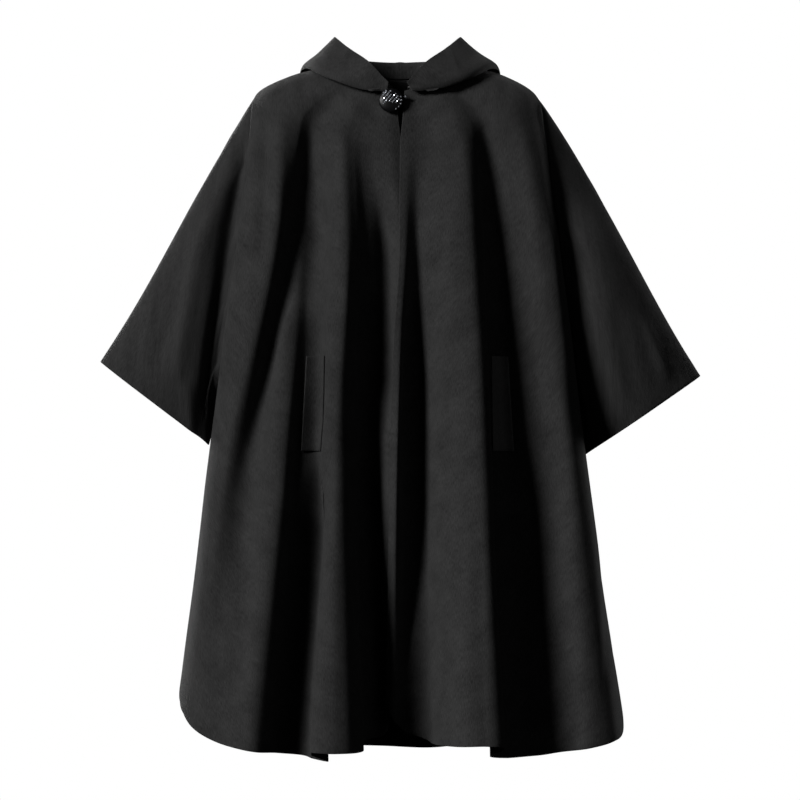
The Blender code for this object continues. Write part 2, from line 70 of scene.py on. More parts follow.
# How far below the origin each level of the coat lies at the front, in millimetres; the hem's is about
# its mean.
NECK_DROP, COLLAR_DROP, YOKE_DROP, CHEST_DROP, UNDERARM_DROP, HEM_DROP = 26, 60, 110, 250, 530, 945
POCKET_TOP_DROP = 395
PAST_HEM = -980  # a height below the hem
EDGE_COLUMNS = 2  # columns of the solid's mesh beside a front's edge, or beside the back's right seam


class Side(Enum):
    """The wearer's two sides, as the sign of X."""

    RIGHT = -1
    LEFT = 1


@dataclass(frozen=True)
class Knot:
    """A point of a line that runs down the coat, at a level of the cloth."""

    drop: float
    x: float
    y: float
    z: float


@dataclass(frozen=True)
class Ring:
    """One of the rings in which the cloth lies on the shoulders."""

    front: float
    back: float
    front_z: float
    back_z: float
    roundness: float


@dataclass(frozen=True)
class Fold:
    """A fold line: its share of the rings, then its place at the chest, the underarm and the hem."""

    share: float
    yoke_out: float
    chest_x: float
    chest_y: float
    underarm_x: float
    underarm_y: float
    hem_x: float
    hem_y: float
    hem_z: float
    columns: int


@dataclass(frozen=True)
class Crease:
    """A soft trough or ridge in the cloth, along a line seen from the front.

    It runs from (top_x, top_z) to (foot_x, foot_z), bowed sideways by bow at its middle. It is width
    wide to each side, rises by rise out of the cloth (a trough's rise is negative), and fades out over
    the shares fade_in and fade_out of its length. A level one moves the cloth straight back or forward.
    """

    top_x: float
    top_z: float
    foot_x: float
    foot_z: float
    width: float
    rise: float
    bow: float = 0.0
    fade_in: float = 0.3
    fade_out: float = 0.3
    level: bool = False


def to_hem(
    top_x: float, top_z: float, foot_x: float, width: float, rise: float, **more: float | bool
) -> Crease:
    """A crease that runs on past the hem, as deep there as above it."""
    return Crease(top_x, top_z, foot_x, PAST_HEM, width, rise, fade_out=0.0, **more)


RINGS = (
    Ring(72, 62, -26, -2, 2.0),
    Ring(88, 86, -60, -34, 2.2),
    Ring(103, 96, -110, -88, 2.5),
)

RIGHT_FRONT_EDGE = (
    Knot(NECK_DROP, -4.5, -71.5, -26),
    Knot(COLLAR_DROP, -2.5, -86, -60),
    Knot(YOKE_DROP, 3, -99, -110),
    Knot(CHEST_DROP, 6, -118, -250),
    Knot(POCKET_TOP_DROP, -2, -122, -395),
    Knot(UNDERARM_DROP, -4, -122, -530),
    Knot(HEM_DROP, -8, -104, -892),
)
LEFT_FRONT_EDGE = (
    Knot(NECK_DROP, 6.5, -72, -26),
    Knot(COLLAR_DROP, 4, -89, -60),
    Knot(YOKE_DROP, 0, -104, -110),
    Knot(CHEST_DROP, -1, -123, -250),
    Knot(POCKET_TOP_DROP, -10, -130, -395),
    Knot(UNDERARM_DROP, -14, -131, -530),
    Knot(HEM_DROP, -20, -114, -884),
)
RIGHT_FRONT_SIDE = (
    Knot(NECK_DROP, -80, 0, 17),
    Knot(COLLAR_DROP, -150, 0, 1),
    Knot(YOKE_DROP, -204, 0, -28),
    Knot(135, -209, -26, -42),
    Knot(160, -211, -40, -78),
    Knot(190, -214, -47, -125),
    Knot(CHEST_DROP, -224, -50, -250),
    Knot(POCKET_TOP_DROP, -247, -42, -395),
    Knot(UNDERARM_DROP, -256, 0, -488),
    Knot(HEM_DROP, -309, 0, -852),
)
LEFT_FRONT_SIDE = (
    Knot(NECK_DROP, 80, 0, 17),
    Knot(COLLAR_DROP, 146, 0, 0),
    Knot(YOKE_DROP, 192, 0, -28),
    Knot(135, 199, -26, -42),
    Knot(160, 203, -40, -78),
    Knot(190, 208, -47, -125),
    Knot(CHEST_DROP, 219, -50, -250),
    Knot(POCKET_TOP_DROP, 242, -40, -395),
    Knot(UNDERARM_DROP, 250, 0, -496),
    Knot(HEM_DROP, 313, 0, -890),
)

RIGHT_FRONT_FOLDS = {
    "placket": Fold(0.07, 0, -10, -120, -15, -121, -20, -103, -922, 2),
    "centre_valley": Fold(0.20, -3, -30, -101, -33, -96, -37, -92, -932, 2),
    "flute_back": Fold(0.27, -1, -46, -105, -52, -103, -51, -116, -938, 2),
    "flute_side": Fold(0.33, 3, -58, -121, -68, -133, -46, -152, -944, 2),
    "flute_crest": Fold(0.40, 7, -73, -132, -88, -157, -90, -192, -944, 3),
    "flute_edge": Fold(0.47, 3, -95, -122, -111, -147, -131, -174, -944, 1),
    "under_flute": Fold(0.52, -5, -107, -103, -103, -116, -101, -124, -960, 2),
    "pocket_valley": Fold(0.57, -12, -116, -91, -121, -96, -139, -100, -955, 2),
    "pocket_edge": Fold(0.61, -11, -126, -86, -139, -95, -168, -106, -950, 2),
    "side_crest": Fold(0.65, -6, -138, -88, -160, -113, -204, -128, -946, 2),
    "slant_valley": Fold(0.69, 1, -153, -97, -203, -82, -256, -110, -934, 2),
    "arm_crest": Fold(0.77, 9, -177, -115, -240, -92, -292, -84, -914, 3),
    "arm_edge": Fold(0.93, 1, -228, -84, -266, -52, -310, -40, -880, 2),
}
LEFT_FRONT_FOLDS = {
    "placket": Fold(0.05, 0, 8, -122, -3, -137, -10, -118, -904, 2),
    "centre_valley": Fold(0.13, -2, 22, -110, 12, -108, 14, -96, -926, 2),
    "flute_slope": Fold(0.23, 0, 41, -120, 40, -122, 38, -118, -936, 2),
    "flute_crest": Fold(0.35, 6, 72, -137, 80, -157, 76, -172, -936, 2),
    "flute_side": Fold(0.45, 8, 99, -138, 113, -166, 120, -192, -934, 2),
    "flute_edge": Fold(0.52, 1, 114, -122, 127, -150, 146, -170, -938, 1),
    "under_flute": Fold(0.565, -7, 122, -104, 119, -120, 129, -128, -953, 2),
    "pocket_valley": Fold(0.61, -12, 132, -91, 141, -94, 157, -100, -957, 2),
    "pocket_edge": Fold(0.65, -10, 142, -87, 160, -89, 190, -96, -955, 2),
    "side_slope": Fold(0.72, -2, 165, -93, 196, -98, 228, -104, -949, 2),
    "side_crest": Fold(0.83, 6, 194, -107, 232, -106, 264, -108, -943, 2),
    "arm_slope": Fold(0.90, 5, 212, -98, 252, -78, 297, -74, -935, 2),
    "arm_edge": Fold(0.95, 1, 222, -74, 260, -38, 313, -30, -924, 2),
}
BACK_FOLDS = {
    "right_arm_edge": Fold(-0.92, 0, -221, 70, -264, 44, -312, 46, -900, 2),
    "right_side_crest": Fold(-0.80, 3, -190, 90, -232, 98, -278, 122, -938, 3),
    "right_side_valley": Fold(-0.64, -5, -148, 84, -182, 88, -218, 98, -950, 3),
    "right_blade_crest": Fold(-0.46, 4, -108, 104, -132, 138, -156, 178, -956, 3),
    "right_blade_valley": Fold(-0.28, -3, -64, 92, -76, 98, -88, 106, -955, 3),
    "centre_crest": Fold(-0.08, 3, -20, 104, -22, 136, -26, 174, -962, 3),
    "centre_valley": Fold(0.14, -3, 30, 92, 38, 98, 44, 106, -959, 3),
    "left_blade_crest": Fold(0.36, 4, 82, 104, 100, 142, 120, 184, -958, 3),
    "left_side_valley": Fold(0.58, -5, 134, 86, 164, 90, 194, 102, -952, 3),
    "left_side_crest": Fold(0.78, 3, 184, 92, 224, 102, 266, 132, -942, 3),
    "left_arm_edge": Fold(0.92, 0, 217, 70, 260, 42, 312, 48, -910, 2),
}

FRONT_FOOT_LIES_BACK = to_hem(-10, -560, -16, 34, -27, fade_in=0.6, level=True)
RIGHT_FRONT_CREASES = (
    Crease(-116, -40, -240, -640, 12, -9, bow=10, fade_in=0.12, fade_out=0.45),  # behind the arm's crest
    Crease(-116, -90, -110, -350, 17, -9, bow=-4),
    Crease(-190, -50, -196, -300, 9, -7, bow=2, fade_in=0.15, fade_out=0.4),
    Crease(-168, -50, -170, -250, 10, 3, fade_in=0.2),
    Crease(-113, -300, -122, -560, 12, -10, bow=2),  # beside the welt
    to_hem(-106, -500, -151, 20, -18, bow=-2, fade_in=0.35),
    Crease(-152, -290, -178, -600, 13, 9),
    to_hem(-106, -450, -140, 13, -13, level=True),
    to_hem(-168, -420, -212, 17, 7, fade_in=0.4),
    to_hem(-97, -240, -126, 4, 2.5, fade_in=0.25),  # the flute's crisp edge
    to_hem(-60, -130, -38, 15, -6, bow=6),
    Crease(-80, -60, -88, -330, 12, 2.5, bow=3),
    to_hem(-80, -400, -69, 10, 3),
    Crease(-20, -130, -17, -520, 14, -26, fade_in=0.35, fade_out=0.25, level=True),
    Crease(-226, -640, -256, -900, 14, 3, bow=4),
    FRONT_FOOT_LIES_BACK,
)
LEFT_FRONT_CREASES = (
    to_hem(16, -260, 27, 14, -12, bow=2, fade_in=0.25),  # behind the placket
    FRONT_FOOT_LIES_BACK,
    to_hem(30, -110, 47, 24, -17, fade_in=0.4, level=True),
    Crease(64, -120, 52, -860, 18, 2.5, bow=6),
    Crease(117, -60, 150, -700, 13, -7, bow=8, fade_in=0.1),
    to_hem(104, -560, 118, 14, -5, fade_in=0.4),
    to_hem(128, -430, 152, 4, 2.5, fade_in=0.2),
    to_hem(150, -560, 180, 22, -13, fade_in=0.4),
    to_hem(172, -480, 225, 26, -14, level=True),
    to_hem(250, -300, 316, 32, 26, fade_in=0.4, level=True),
    Crease(284, -640, 286, -900, 8, -2, bow=4),
    Crease(206, -170, 236, -480, 10, 4, fade_in=0.25),
)
BACK_CREASES = (
    Crease(-40, -260, -62, -640, 16, -5, bow=6),
    Crease(66, -240, 84, -520, 14, 4, bow=-4),
    Crease(150, -330, 176, -820, 18, -4),
    Crease(-166, -420, -176, -760, 15, 4, bow=5),
)


@dataclass(frozen=True)
class FrontPattern:
    """A front's pattern: its edge, its fold lines by name, its side seam and its creases."""

    edge: tuple[Knot, ...]
    folds: dict[str, Fold]
    seam: tuple[Knot, ...]
    creases: tuple[Crease, ...]


FRONTS = {
    Side.RIGHT: FrontPattern(RIGHT_FRONT_EDGE, RIGHT_FRONT_FOLDS, RIGHT_FRONT_SIDE, RIGHT_FRONT_CREASES),
    Side.LEFT: FrontPattern(LEFT_FRONT_EDGE, LEFT_FRONT_FOLDS, LEFT_FRONT_SIDE, LEFT_FRONT_CREASES),
}


def unit(vectors: np.ndarray) -> np.ndarray:
    """The vectors, each divided by its length."""
    return vectors / np.maximum(np.linalg.norm(vectors, axis=-1, keepdims=True), 1e-12)


def smooth_step(low: float, high: float, values: np.ndarray) -> np.ndarray:
    """0 below low, 1 above high and the cubic 3t^2 - 2t^3 between them."""
    t = np.clip((values - low) / (high - low), 0, 1)
    return t * t * (3 - 2 * t)


def hermite(
    start: np.ndarray,
    start_slope: np.ndarray,
    end: np.ndarray,
    end_slope: np.ndarray,
    t: np.ndarray | float,
) -> np.ndarray:
    """The cubic from start to end whose slopes there, per unit of t, are given.

    Args:
        start, start_slope: Where it starts, and how fast it leaves.
        end, end_slope: Where it ends, and how fast it arrives.
        t: How far along it, from 0 to 1.

    Returns:
        The points, as an array of the broadcast shape.
    """
    return (
        (1 + 2 * t) * (1 - t) ** 2 * start
        + t * (1 - t) ** 2 * start_slope
        + t**2 * (3 - 2 * t) * end
        - t**2 * (1 - t) * end_slope
    )


def knot_slopes(at: np.ndarray, values: np.ndarray) -> np.ndarray:
    """Slopes of a curve through the knots that never swings past them.

    Each slope is the harmonic mean of the steps on its two sides, or 0 where they turn back.

    Args:
        at: Where the knots lie along the curve, (knots,).
        values: Their points, (knots, 3).

    Returns:
        The slopes, (knots, 3).
    """
    steps = np.diff(values, axis=0) / np.diff(at)[:, None]
    slopes = np.empty_like(values)
    slopes[0], slopes[-1] = steps[0], steps[-1]
    before, after = steps[:-1], steps[1:]
    same_way = before * after > 0
    total = np.where(same_way, before + after, 1)
    slopes[1:-1] = np.where(same_way, 2 * before * after / total, 0)
    return slopes


def fine_rows(levels: tuple[float, ...]) -> np.ndarray:
    """Drops from the first level to the last, ROW_STEP apart or less, with every level among them.

    Args:
        levels: The levels' own drops, from the neck down.

    Returns:
        The drops of the rows.
    """
    parts = []
    for a, b in zip(levels, levels[1:]):
        parts.append(np.linspace(a, b, max(2, math.ceil((b - a) / ROW_STEP)) + 1)[:-1])
    return np.concatenate(parts + [[levels[-1]]])


SHOULDER_LEVELS = (NECK_DROP, COLLAR_DROP, YOKE_DROP)
ARMHOLE_LEVELS = (YOKE_DROP, 135, 160, 190, CHEST_DROP, POCKET_TOP_DROP, UNDERARM_DROP)
SKIRT_LEVELS = (UNDERARM_DROP, HEM_DROP)
ROWS = fine_rows(SHOULDER_LEVELS + ARMHOLE_LEVELS[1:] + SKIRT_LEVELS[1:])
ARMHOLE_TOP = int(np.searchsorted(ROWS, YOKE_DROP))
ARMHOLE_FOOT = int(np.searchsorted(ROWS, UNDERARM_DROP))


def down_knots(knots: tuple[Knot, ...], rows: np.ndarray) -> np.ndarray:
    """A line of points on the smooth curve through the knots.

    Args:
        knots: The knots, from the neck down.
        rows: The drops that points are wanted at.

    Returns:
        One point in metres for each row, (rows, 3).
    """
    at = np.array([knot.drop for knot in knots], float)
    values = np.array([(knot.x, knot.y, knot.z) for knot in knots], float)
    slopes = knot_slopes(at, values)
    i = np.clip(np.searchsorted(at, rows, side="right") - 1, 0, len(at) - 2)
    span = (at[i + 1] - at[i])[:, None]
    t = (rows - at[i])[:, None] / span
    return hermite(values[i], slopes[i] * span, values[i + 1], slopes[i + 1] * span, t) * MM


def ring_height(share: float, centre_z: float, side_z: float) -> float:
    """A ring's height, which goes from its centre's to its side's as the square of the share."""
    return centre_z + (side_z - centre_z) * share**2


def ring_knot(drop: float, ring: Ring, side: Knot, x: float, out: float, is_back: bool) -> Knot:
    """The point of a shoulder ring at x, moved out of the ring.

    The ring is a superellipse: depth times (1 - share^n)^(1/n), where n is its roundness.

    Args:
        drop: The drop that the knot gets.
        ring: The ring.
        side: The side seam's knot, at which the ring ends.
        x: Where the point lies across the coat.
        out: How far it is moved out.
        is_back: Whether it lies on the back.

    Returns:
        The point, as a knot.
    """
    share = min(abs(x / side.x), 1.0)
    depth = (ring.back if is_back else ring.front) + out
    y = depth * (1 - share**ring.roundness) ** (1 / ring.roundness)
    z = ring_height(share, ring.back_z if is_back else ring.front_z, side.z)
    return Knot(drop, x, y if is_back else -y, z)


def loft(lines: list[np.ndarray], counts: list[int], before: np.ndarray, after: np.ndarray) -> np.ndarray:
    """A smooth surface across lines of points.

    Between two lines it is a cubic, whose slope at a line is the mean of the steps on its two sides,
    each weighed by the other's width. Widths count by their square root, so near lines don't overshoot.

    Args:
        lines: The lines, each (rows, 3).
        counts: How many columns lie between each two of them.
        before, after: The lines beyond the two ends, which only steer the surface there.

    Returns:
        The points, (rows, columns, 3).
    """
    lines = [before, *lines, after]
    spans = [
        np.linalg.norm(b - a, axis=1, keepdims=True) ** 0.5 + 1e-9 for a, b in zip(lines, lines[1:])
    ]
    slopes = [None]
    for k in range(1, len(lines) - 1):
        arriving = (lines[k] - lines[k - 1]) / spans[k - 1]
        leaving = (lines[k + 1] - lines[k]) / spans[k]
        both = spans[k - 1] + spans[k]
        slopes.append((arriving * spans[k] + leaving * spans[k - 1]) / both)
    columns = []
    for k, count in enumerate(counts, start=1):
        steps = np.linspace(0, 1, count + 1)[: None if k == len(counts) else -1]
        for t in steps:
            columns.append(
                hermite(lines[k], slopes[k] * spans[k], lines[k + 1], slopes[k + 1] * spans[k], t)
            )
    return np.stack(columns, axis=1)


def arc(points: np.ndarray, axis: int) -> np.ndarray:
    """The length walked along an axis of a grid from its first line.

    Args:
        points: The grid, (rows, columns, 3).
        axis: 0 to walk down it, 1 to walk across it.

    Returns:
        The length at each point, (rows, columns).
    """
    steps = np.linalg.norm(np.diff(points, axis=axis), axis=2)
    start = np.zeros_like(np.take(steps, [0], axis=axis))
    return np.concatenate([start, np.cumsum(steps, axis=axis)], axis=axis)


def ripple(u: np.ndarray, v: np.ndarray, seed: float) -> np.ndarray:
    """A slow unevenness from -1 to 1: a sum of three sines that cross at odd angles and lengths."""
    return (
        np.sin(u * 31 + 2.1 * np.sin(v * 9 + seed) + seed * 3.7)
        + 0.7 * np.sin(u * 57 - v * 13 + seed * 1.9)
        + 0.5 * np.sin(u * 19 + v * 23 + seed * 5.3)
    ) / 2.2


class Edge(Enum):
    """The four edges of a grid of points."""

    FIRST = "first column"
    LAST = "last column"
    TOP = "first row"
    FOOT = "last row"

    def turned(self, grid: np.ndarray) -> np.ndarray:
        """Turns a grid so that this edge is its first row.

        Args:
            grid: The grid, (rows, columns, ...).

        Returns:
            A view of the same grid.
        """
        if self in (Edge.FIRST, Edge.LAST):
            grid = grid.swapaxes(0, 1)
        return grid[::-1] if self in (Edge.LAST, Edge.FOOT) else grid


@dataclass
class Shell:
    """A piece of cloth: the grid of its outer side's points, which closed joins into a tube.

    facing is 1 where the cross product of the grid's way across and its way down points out of the
    coat, and -1 where it points in.
    """

    name: str
    points: np.ndarray
    facing: int
    closed: bool = False
    thickness: float = CLOTH
    normals: np.ndarray = field(init=False)

    def __post_init__(self) -> None:
        """Works out the normals of the grid as it comes."""
        self.turn_normals()

    def turn_normals(self) -> None:
        """Sets each normal to the cross product of the grid's two ways there."""
        if self.closed:
            over = np.roll(self.points, -1, axis=1) - np.roll(self.points, 1, axis=1)
        else:
            over = np.gradient(self.points, axis=1)
        self.normals = unit(np.cross(over, np.gradient(self.points, axis=0))) * self.facing

    def move_out(self, distance: np.ndarray) -> None:
        """Moves each point along its normal by its distance, and turns the normals to suit."""
        self.points = self.points + self.normals * distance[..., None]
        self.turn_normals()

    def turn_in(self, edge: Edge, gap: float = 0.0, dent: float = 0.0) -> None:
        """Makes room for a round edge and for a seam's gap, and sinks the cloth along the seam.

        A point s away from the edge moves inwards by d (1 - s / 6d)^2, where d is the room, and sinks by
        dent times e^(-(s / DENT_WIDTH)^2).

        Args:
            edge: Which edge.
            gap: This piece's half of the gap at the seam.
            dent: How deep the seam pulls the cloth in.
        """
        points = self.points.copy()
        view = edge.turned(points)
        way = arc(view, 0)[..., None]
        room = EDGE_ROUND + gap
        inward = unit(view[1:2] - view[:1])
        view -= edge.turned(self.normals) * dent * np.exp(-((way / DENT_WIDTH) ** 2))
        view += inward * room * np.clip(1 - way / (6 * room), 0, 1) ** 2
        self.points = points
        self.turn_normals()

    def free(self, sewn: tuple[Edge, ...], reach: float) -> np.ndarray:
        """1 on the free cloth, going down smoothly to 0 at the sewn edges.

        Args:
            sewn: The edges that other cloth is sewn to.
            reach: How far from them the cloth is held.

        Returns:
            The share at each point, (rows, columns).
        """
        share = np.ones(self.points.shape[:2])
        for edge in sewn:
            view = edge.turned(share)
            view *= smooth_step(0, reach, arc(edge.turned(self.points), 0))
        return share

    def press(self, creases: tuple[Crease, ...], sewn: tuple[Edge, ...] = ()) -> None:
        """Presses the creases into the cloth, each a bell e^(-(d / width)^2) across its line.

        A level one takes hold as tanh(y / LEVEL_REACH), so that it turns round smoothly at the side seams.

        Args:
            creases: The creases.
            sewn: The edges that other cloth is sewn to, where the creases die out.
        """
        x, z = self.points[..., 0] / MM, self.points[..., 2] / MM
        total, level = np.zeros(x.shape), np.zeros(x.shape)
        for crease in creases:
            t = (crease.top_z - z) / (crease.top_z - crease.foot_z)
            line = crease.top_x + (crease.foot_x - crease.top_x) * t + crease.bow * 4 * t * (1 - t)
            start = smooth_step(0, max(crease.fade_in, 1e-3), t)
            end = 1 - smooth_step(1 - max(crease.fade_out, 1e-3), 1, t)
            bell = crease.rise * np.exp(-(((x - line) / crease.width) ** 2)) * start * end
            if crease.level:
                level += bell
            else:
                total += bell
        free = MM * self.free(sewn, CREASE_REACH)
        self.points[..., 1] += level * free * np.tanh(self.points[..., 1] / LEVEL_REACH)
        self.move_out(total * free)

    def wave(self, height: float, seed: float) -> None:
        """Makes the cloth a little uneven, but not where it is sewn.

        Args:
            height: How far it is moved out or in at most.
            seed: A number that makes this piece's unevenness its own.
        """
        edges = (Edge.TOP, Edge.FOOT) if self.closed else tuple(Edge)
        uneven = ripple(arc(self.points, 1), arc(self.points, 0), seed)
        self.move_out(uneven * height * self.free(edges, WAVE_REACH))

    def build(self, finish: bpy.types.Material) -> bpy.types.Object:
        """Makes the cloth's object: its two sides, joined by round edges.

        Each row becomes a loop over the outer side, round one edge, back over the inner side and round
        the other. A point of it is the middle of the cloth, plus the normal times half the thickness
        times cos a, plus the edge's way out times EDGE_ROUND times sin a, where a goes from 0 to 180
        degrees round an edge. The top and the foot close in the same way. A tube's two sides are loops
        of their own.

        Args:
            finish: The cloth's material.

        Returns:
            The object, whose UV map gives each point's place on the flat cloth in metres.
        """
        points, rise = self.points, self.normals * self.thickness / 2
        if self.closed:
            points, rise = (np.concatenate([g, g[:, :1]], axis=1) for g in (points, rise))
        middle, flat = points - rise, np.stack([arc(points, 1), arc(points, 0)], axis=-1)
        if self.closed:
            sides = ([middle] * 2, [rise, -rise], [flat] * 2)
            centre, away, flat = (np.concatenate(g, axis=1) for g in sides)
            half = points.shape[1]
            near = np.r_[0 : half - 1, half : 2 * half - 1]
            far = near + 1
        else:
            turns = np.radians((45, 90, 135))
            first = unit(points[:, :1] - points[:, 1:2]) * EDGE_ROUND
            last = unit(points[:, -1:] - points[:, -2:-1]) * EDGE_ROUND
            round_last = [rise[:, -1:] * math.cos(a) + last * math.sin(a) for a in turns]
            round_first = [first * math.sin(a) - rise[:, :1] * math.cos(a) for a in turns]
            away = np.concatenate([rise, *round_last, -rise[:, ::-1], *round_first], axis=1)
            centre, flat = (
                np.concatenate([g, *[g[:, -1:]] * 3, g[:, ::-1], *[g[:, :1]] * 3], axis=1)
                for g in (middle, flat)
            )
            near = np.arange(centre.shape[1])
            far = np.roll(near, -1)
        grid, flat = self.close_ends(centre, away, flat)
        rows, columns = grid.shape[:2]
        index = np.arange(rows * columns).reshape(rows, columns)
        a, b = index[:, near], index[:, far]
        faces = np.stack([a[:-1], a[1:], b[1:], b[:-1]], axis=-1).reshape(-1, 4)
        mesh = bpy.data.meshes.new(self.name)
        mesh.from_pydata(grid.reshape(-1, 3).tolist(), [], faces.tolist())
        places = flat.reshape(-1, 2)[faces.ravel()]
        mesh.uv_layers.new(name="cloth").data.foreach_set("uv", places.astype(np.float32).ravel())
        return finished(f"{self.name}_cloth", mesh, finish)

    @staticmethod
    def close_ends(
        centre: np.ndarray, away: np.ndarray, flat: np.ndarray
    ) -> tuple[np.ndarray, np.ndarray]:
        """Adds the rows that round off a grid of loops above its top and below its foot.

        Args:
            centre: The middle of the cloth at each point of the loops.
            away: The way from there to the cloth's surface.
            flat: The place on the flat cloth.

        Returns:
            The surface's points and their places on the flat cloth, with the new rows.
        """
        top = unit(centre[:1] - centre[1:2]) * EDGE_ROUND
        foot = unit(centre[-1:] - centre[-2:-1]) * EDGE_ROUND
        turns = np.radians((90, 45))
        above = [centre[:1] + away[:1] * math.cos(a) + top * math.sin(a) for a in turns]
        below = [centre[-1:] + away[-1:] * math.cos(a) + foot * math.sin(a) for a in turns[::-1]]
        grid = np.concatenate([*above, centre + away, *below], axis=0)
        return grid, np.concatenate([*[flat[:1]] * 2, flat, *[flat[-1:]] * 2], axis=0)


def finished(
    name: str, mesh: bpy.types.Mesh, finish: bpy.types.Material, sharp: float = 60.0
) -> bpy.types.Object:
    """Merges a mesh's doubles, turns its faces out, shades it and links its object to the scene.

    Args:
        name: The object's name.
        mesh: The mesh, with its place in it.
        finish: Its material.
        sharp: Edges that turn by more than this many degrees stay sharp.

    Returns:
        The object, at the origin.
    """
    work = bmesh.new()
    work.from_mesh(mesh)
    bmesh.ops.remove_doubles(work, verts=work.verts, dist=1e-6)
    bmesh.ops.recalc_face_normals(work, faces=work.faces)
    work.to_mesh(mesh)
    work.free()
    mesh.shade_smooth()
    mesh.set_sharp_from_angle(angle=math.radians(sharp))
    mesh.materials.append(finish)
    made = bpy.data.objects.new(name, mesh)
    bpy.context.scene.collection.objects.link(made)
    return made


def placed(piece: bpy.types.Object, finish_slot: str, *nodes: str) -> bpy.types.Object:
    """Attaches a piece to the coat and hides the solids that it stands for.

    Args:
        piece: The piece's object.
        finish_slot: Not used.
        nodes: The solids that it stands for, if any.

    Returns:
        The same object.
    """
    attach(piece, BODY)
    if nodes:
        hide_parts(*nodes)
    LOG.info("%s: %d faces", piece.name, len(piece.data.polygons))
    return piece


def linear(hex_colour: str) -> tuple[float, float, float, float]:
    """An sRGB hex colour as linear red, green, blue and alpha."""
    parts = (int(hex_colour[i : i + 2], 16) / 255 for i in (1, 3, 5))
    return (*(c / 12.92 if c <= 0.04045 else ((c + 0.055) / 1.055) ** 2.4 for c in parts), 1.0)


def add_node(
    tree: bpy.types.NodeTree, kind: str, links: dict | None = None, **settings: object
) -> bpy.types.Node:
    """Adds a node to a material.

    Args:
        tree: The material's node tree.
        kind: The node's type, such as ShaderNodeBump.
        links: For each input, by name or number, the output that feeds it or the value it holds.
        settings: The node's own settings.

    Returns:
        The node.
    """
    made = tree.nodes.new(kind)
    for name, value in settings.items():
        setattr(made, name, value)
    for name, value in (links or {}).items():
        if isinstance(value, bpy.types.NodeSocket):
            tree.links.new(value, made.inputs[name])
        else:
            made.inputs[name].default_value = value
    return made


def new_material(name: str) -> tuple[bpy.types.Material, bpy.types.NodeTree, bpy.types.Node]:
    """An empty material with a Principled shader.

    Args:
        name: The material's name.

    Returns:
        The material, its node tree and the shader.
    """
    made = bpy.data.materials.new(name)
    made.use_nodes = True
    tree = made.node_tree
    return made, tree, tree.nodes["Principled BSDF"]


@dataclass(frozen=True)
class BrushedWool:
    """Black wool coating, milled and brushed: a matt nap that lies down the cloth, with soft tufts.

    The tufts' hairs are 0.02 mm thick, far too fine to show, so they are drawn in locks of 1.1 mm by 6 mm.
    The nap catches light at a low angle, which sheen gives, and shades a little in patches. The locks count
    lock_share times as much as the patches in that shade, which goes from dark to light between the sums
    dark_sum and light_sum.
    """

    name: str = "brushed_black_wool"
    dark: str = "#131313"
    light: str = "#2f2f2f"
    lock_width_mm: float = 1.1
    lock_length_mm: float = 6.0
    patch_mm: float = 38.0
    lock_share: float = 1.6
    dark_sum: float = 0.7
    light_sum: float = 1.9
    roughness: float = 0.92
    specular: float = 0.12
    sheen: float = 0.12
    sheen_roughness: float = 0.45
    sheen_tint: str = "#8c8c8c"
    bump_mm: float = 0.5
    bump_strength: float = 0.9

    def material(self) -> bpy.types.Material:
        """Makes the material. Its patterns lie on the UV map, whose unit is a metre of cloth.

        Returns:
            The material.
        """
        made, tree, shader = new_material(self.name)
        cloth = add_node(tree, "ShaderNodeUVMap", uv_map="cloth").outputs["UV"]
        sizes = (1 / (self.lock_width_mm * MM), 1 / (self.lock_length_mm * MM), 1)
        along = add_node(tree, "ShaderNodeMapping", {"Vector": cloth, "Scale": sizes})
        locks = add_node(
            tree,
            "ShaderNodeTexNoise",
            {"Vector": along.outputs["Vector"], "Scale": 1.0, "Detail": 3.0, "Roughness": 0.6},
            noise_dimensions="2D",
        )
        patches = add_node(
            tree,
            "ShaderNodeTexNoise",
            {"Vector": cloth, "Scale": 1 / (self.patch_mm * MM), "Detail": 5.0, "Roughness": 0.7},
            noise_dimensions="2D",
        )
        mixed = add_node(
            tree,
            "ShaderNodeMath",
            {0: locks.outputs["Fac"], 1: self.lock_share, 2: patches.outputs["Fac"]},
            operation="MULTIPLY_ADD",
        )
        shade = add_node(
            tree,
            "ShaderNodeMapRange",
            {"Value": mixed.outputs["Value"], "From Min": self.dark_sum, "From Max": self.light_sum},
        )
        colour = add_node(
            tree,
            "ShaderNodeMix",
            {0: shade.outputs["Result"], 6: linear(self.dark), 7: linear(self.light)},
            data_type="RGBA",
        )
        hair = {"Height": locks.outputs["Fac"], "Strength": self.bump_strength}
        bump = add_node(tree, "ShaderNodeBump", {**hair, "Distance": self.bump_mm * MM})
        tree.links.new(colour.outputs[2], shader.inputs["Base Color"])
        tree.links.new(bump.outputs["Normal"], shader.inputs["Normal"])
        shader.inputs["Roughness"].default_value = self.roughness
        shader.inputs["Specular IOR Level"].default_value = self.specular
        shader.inputs["Sheen Weight"].default_value = self.sheen
        shader.inputs["Sheen Roughness"].default_value = self.sheen_roughness
        shader.inputs["Sheen Tint"].default_value = linear(self.sheen_tint)
        return made


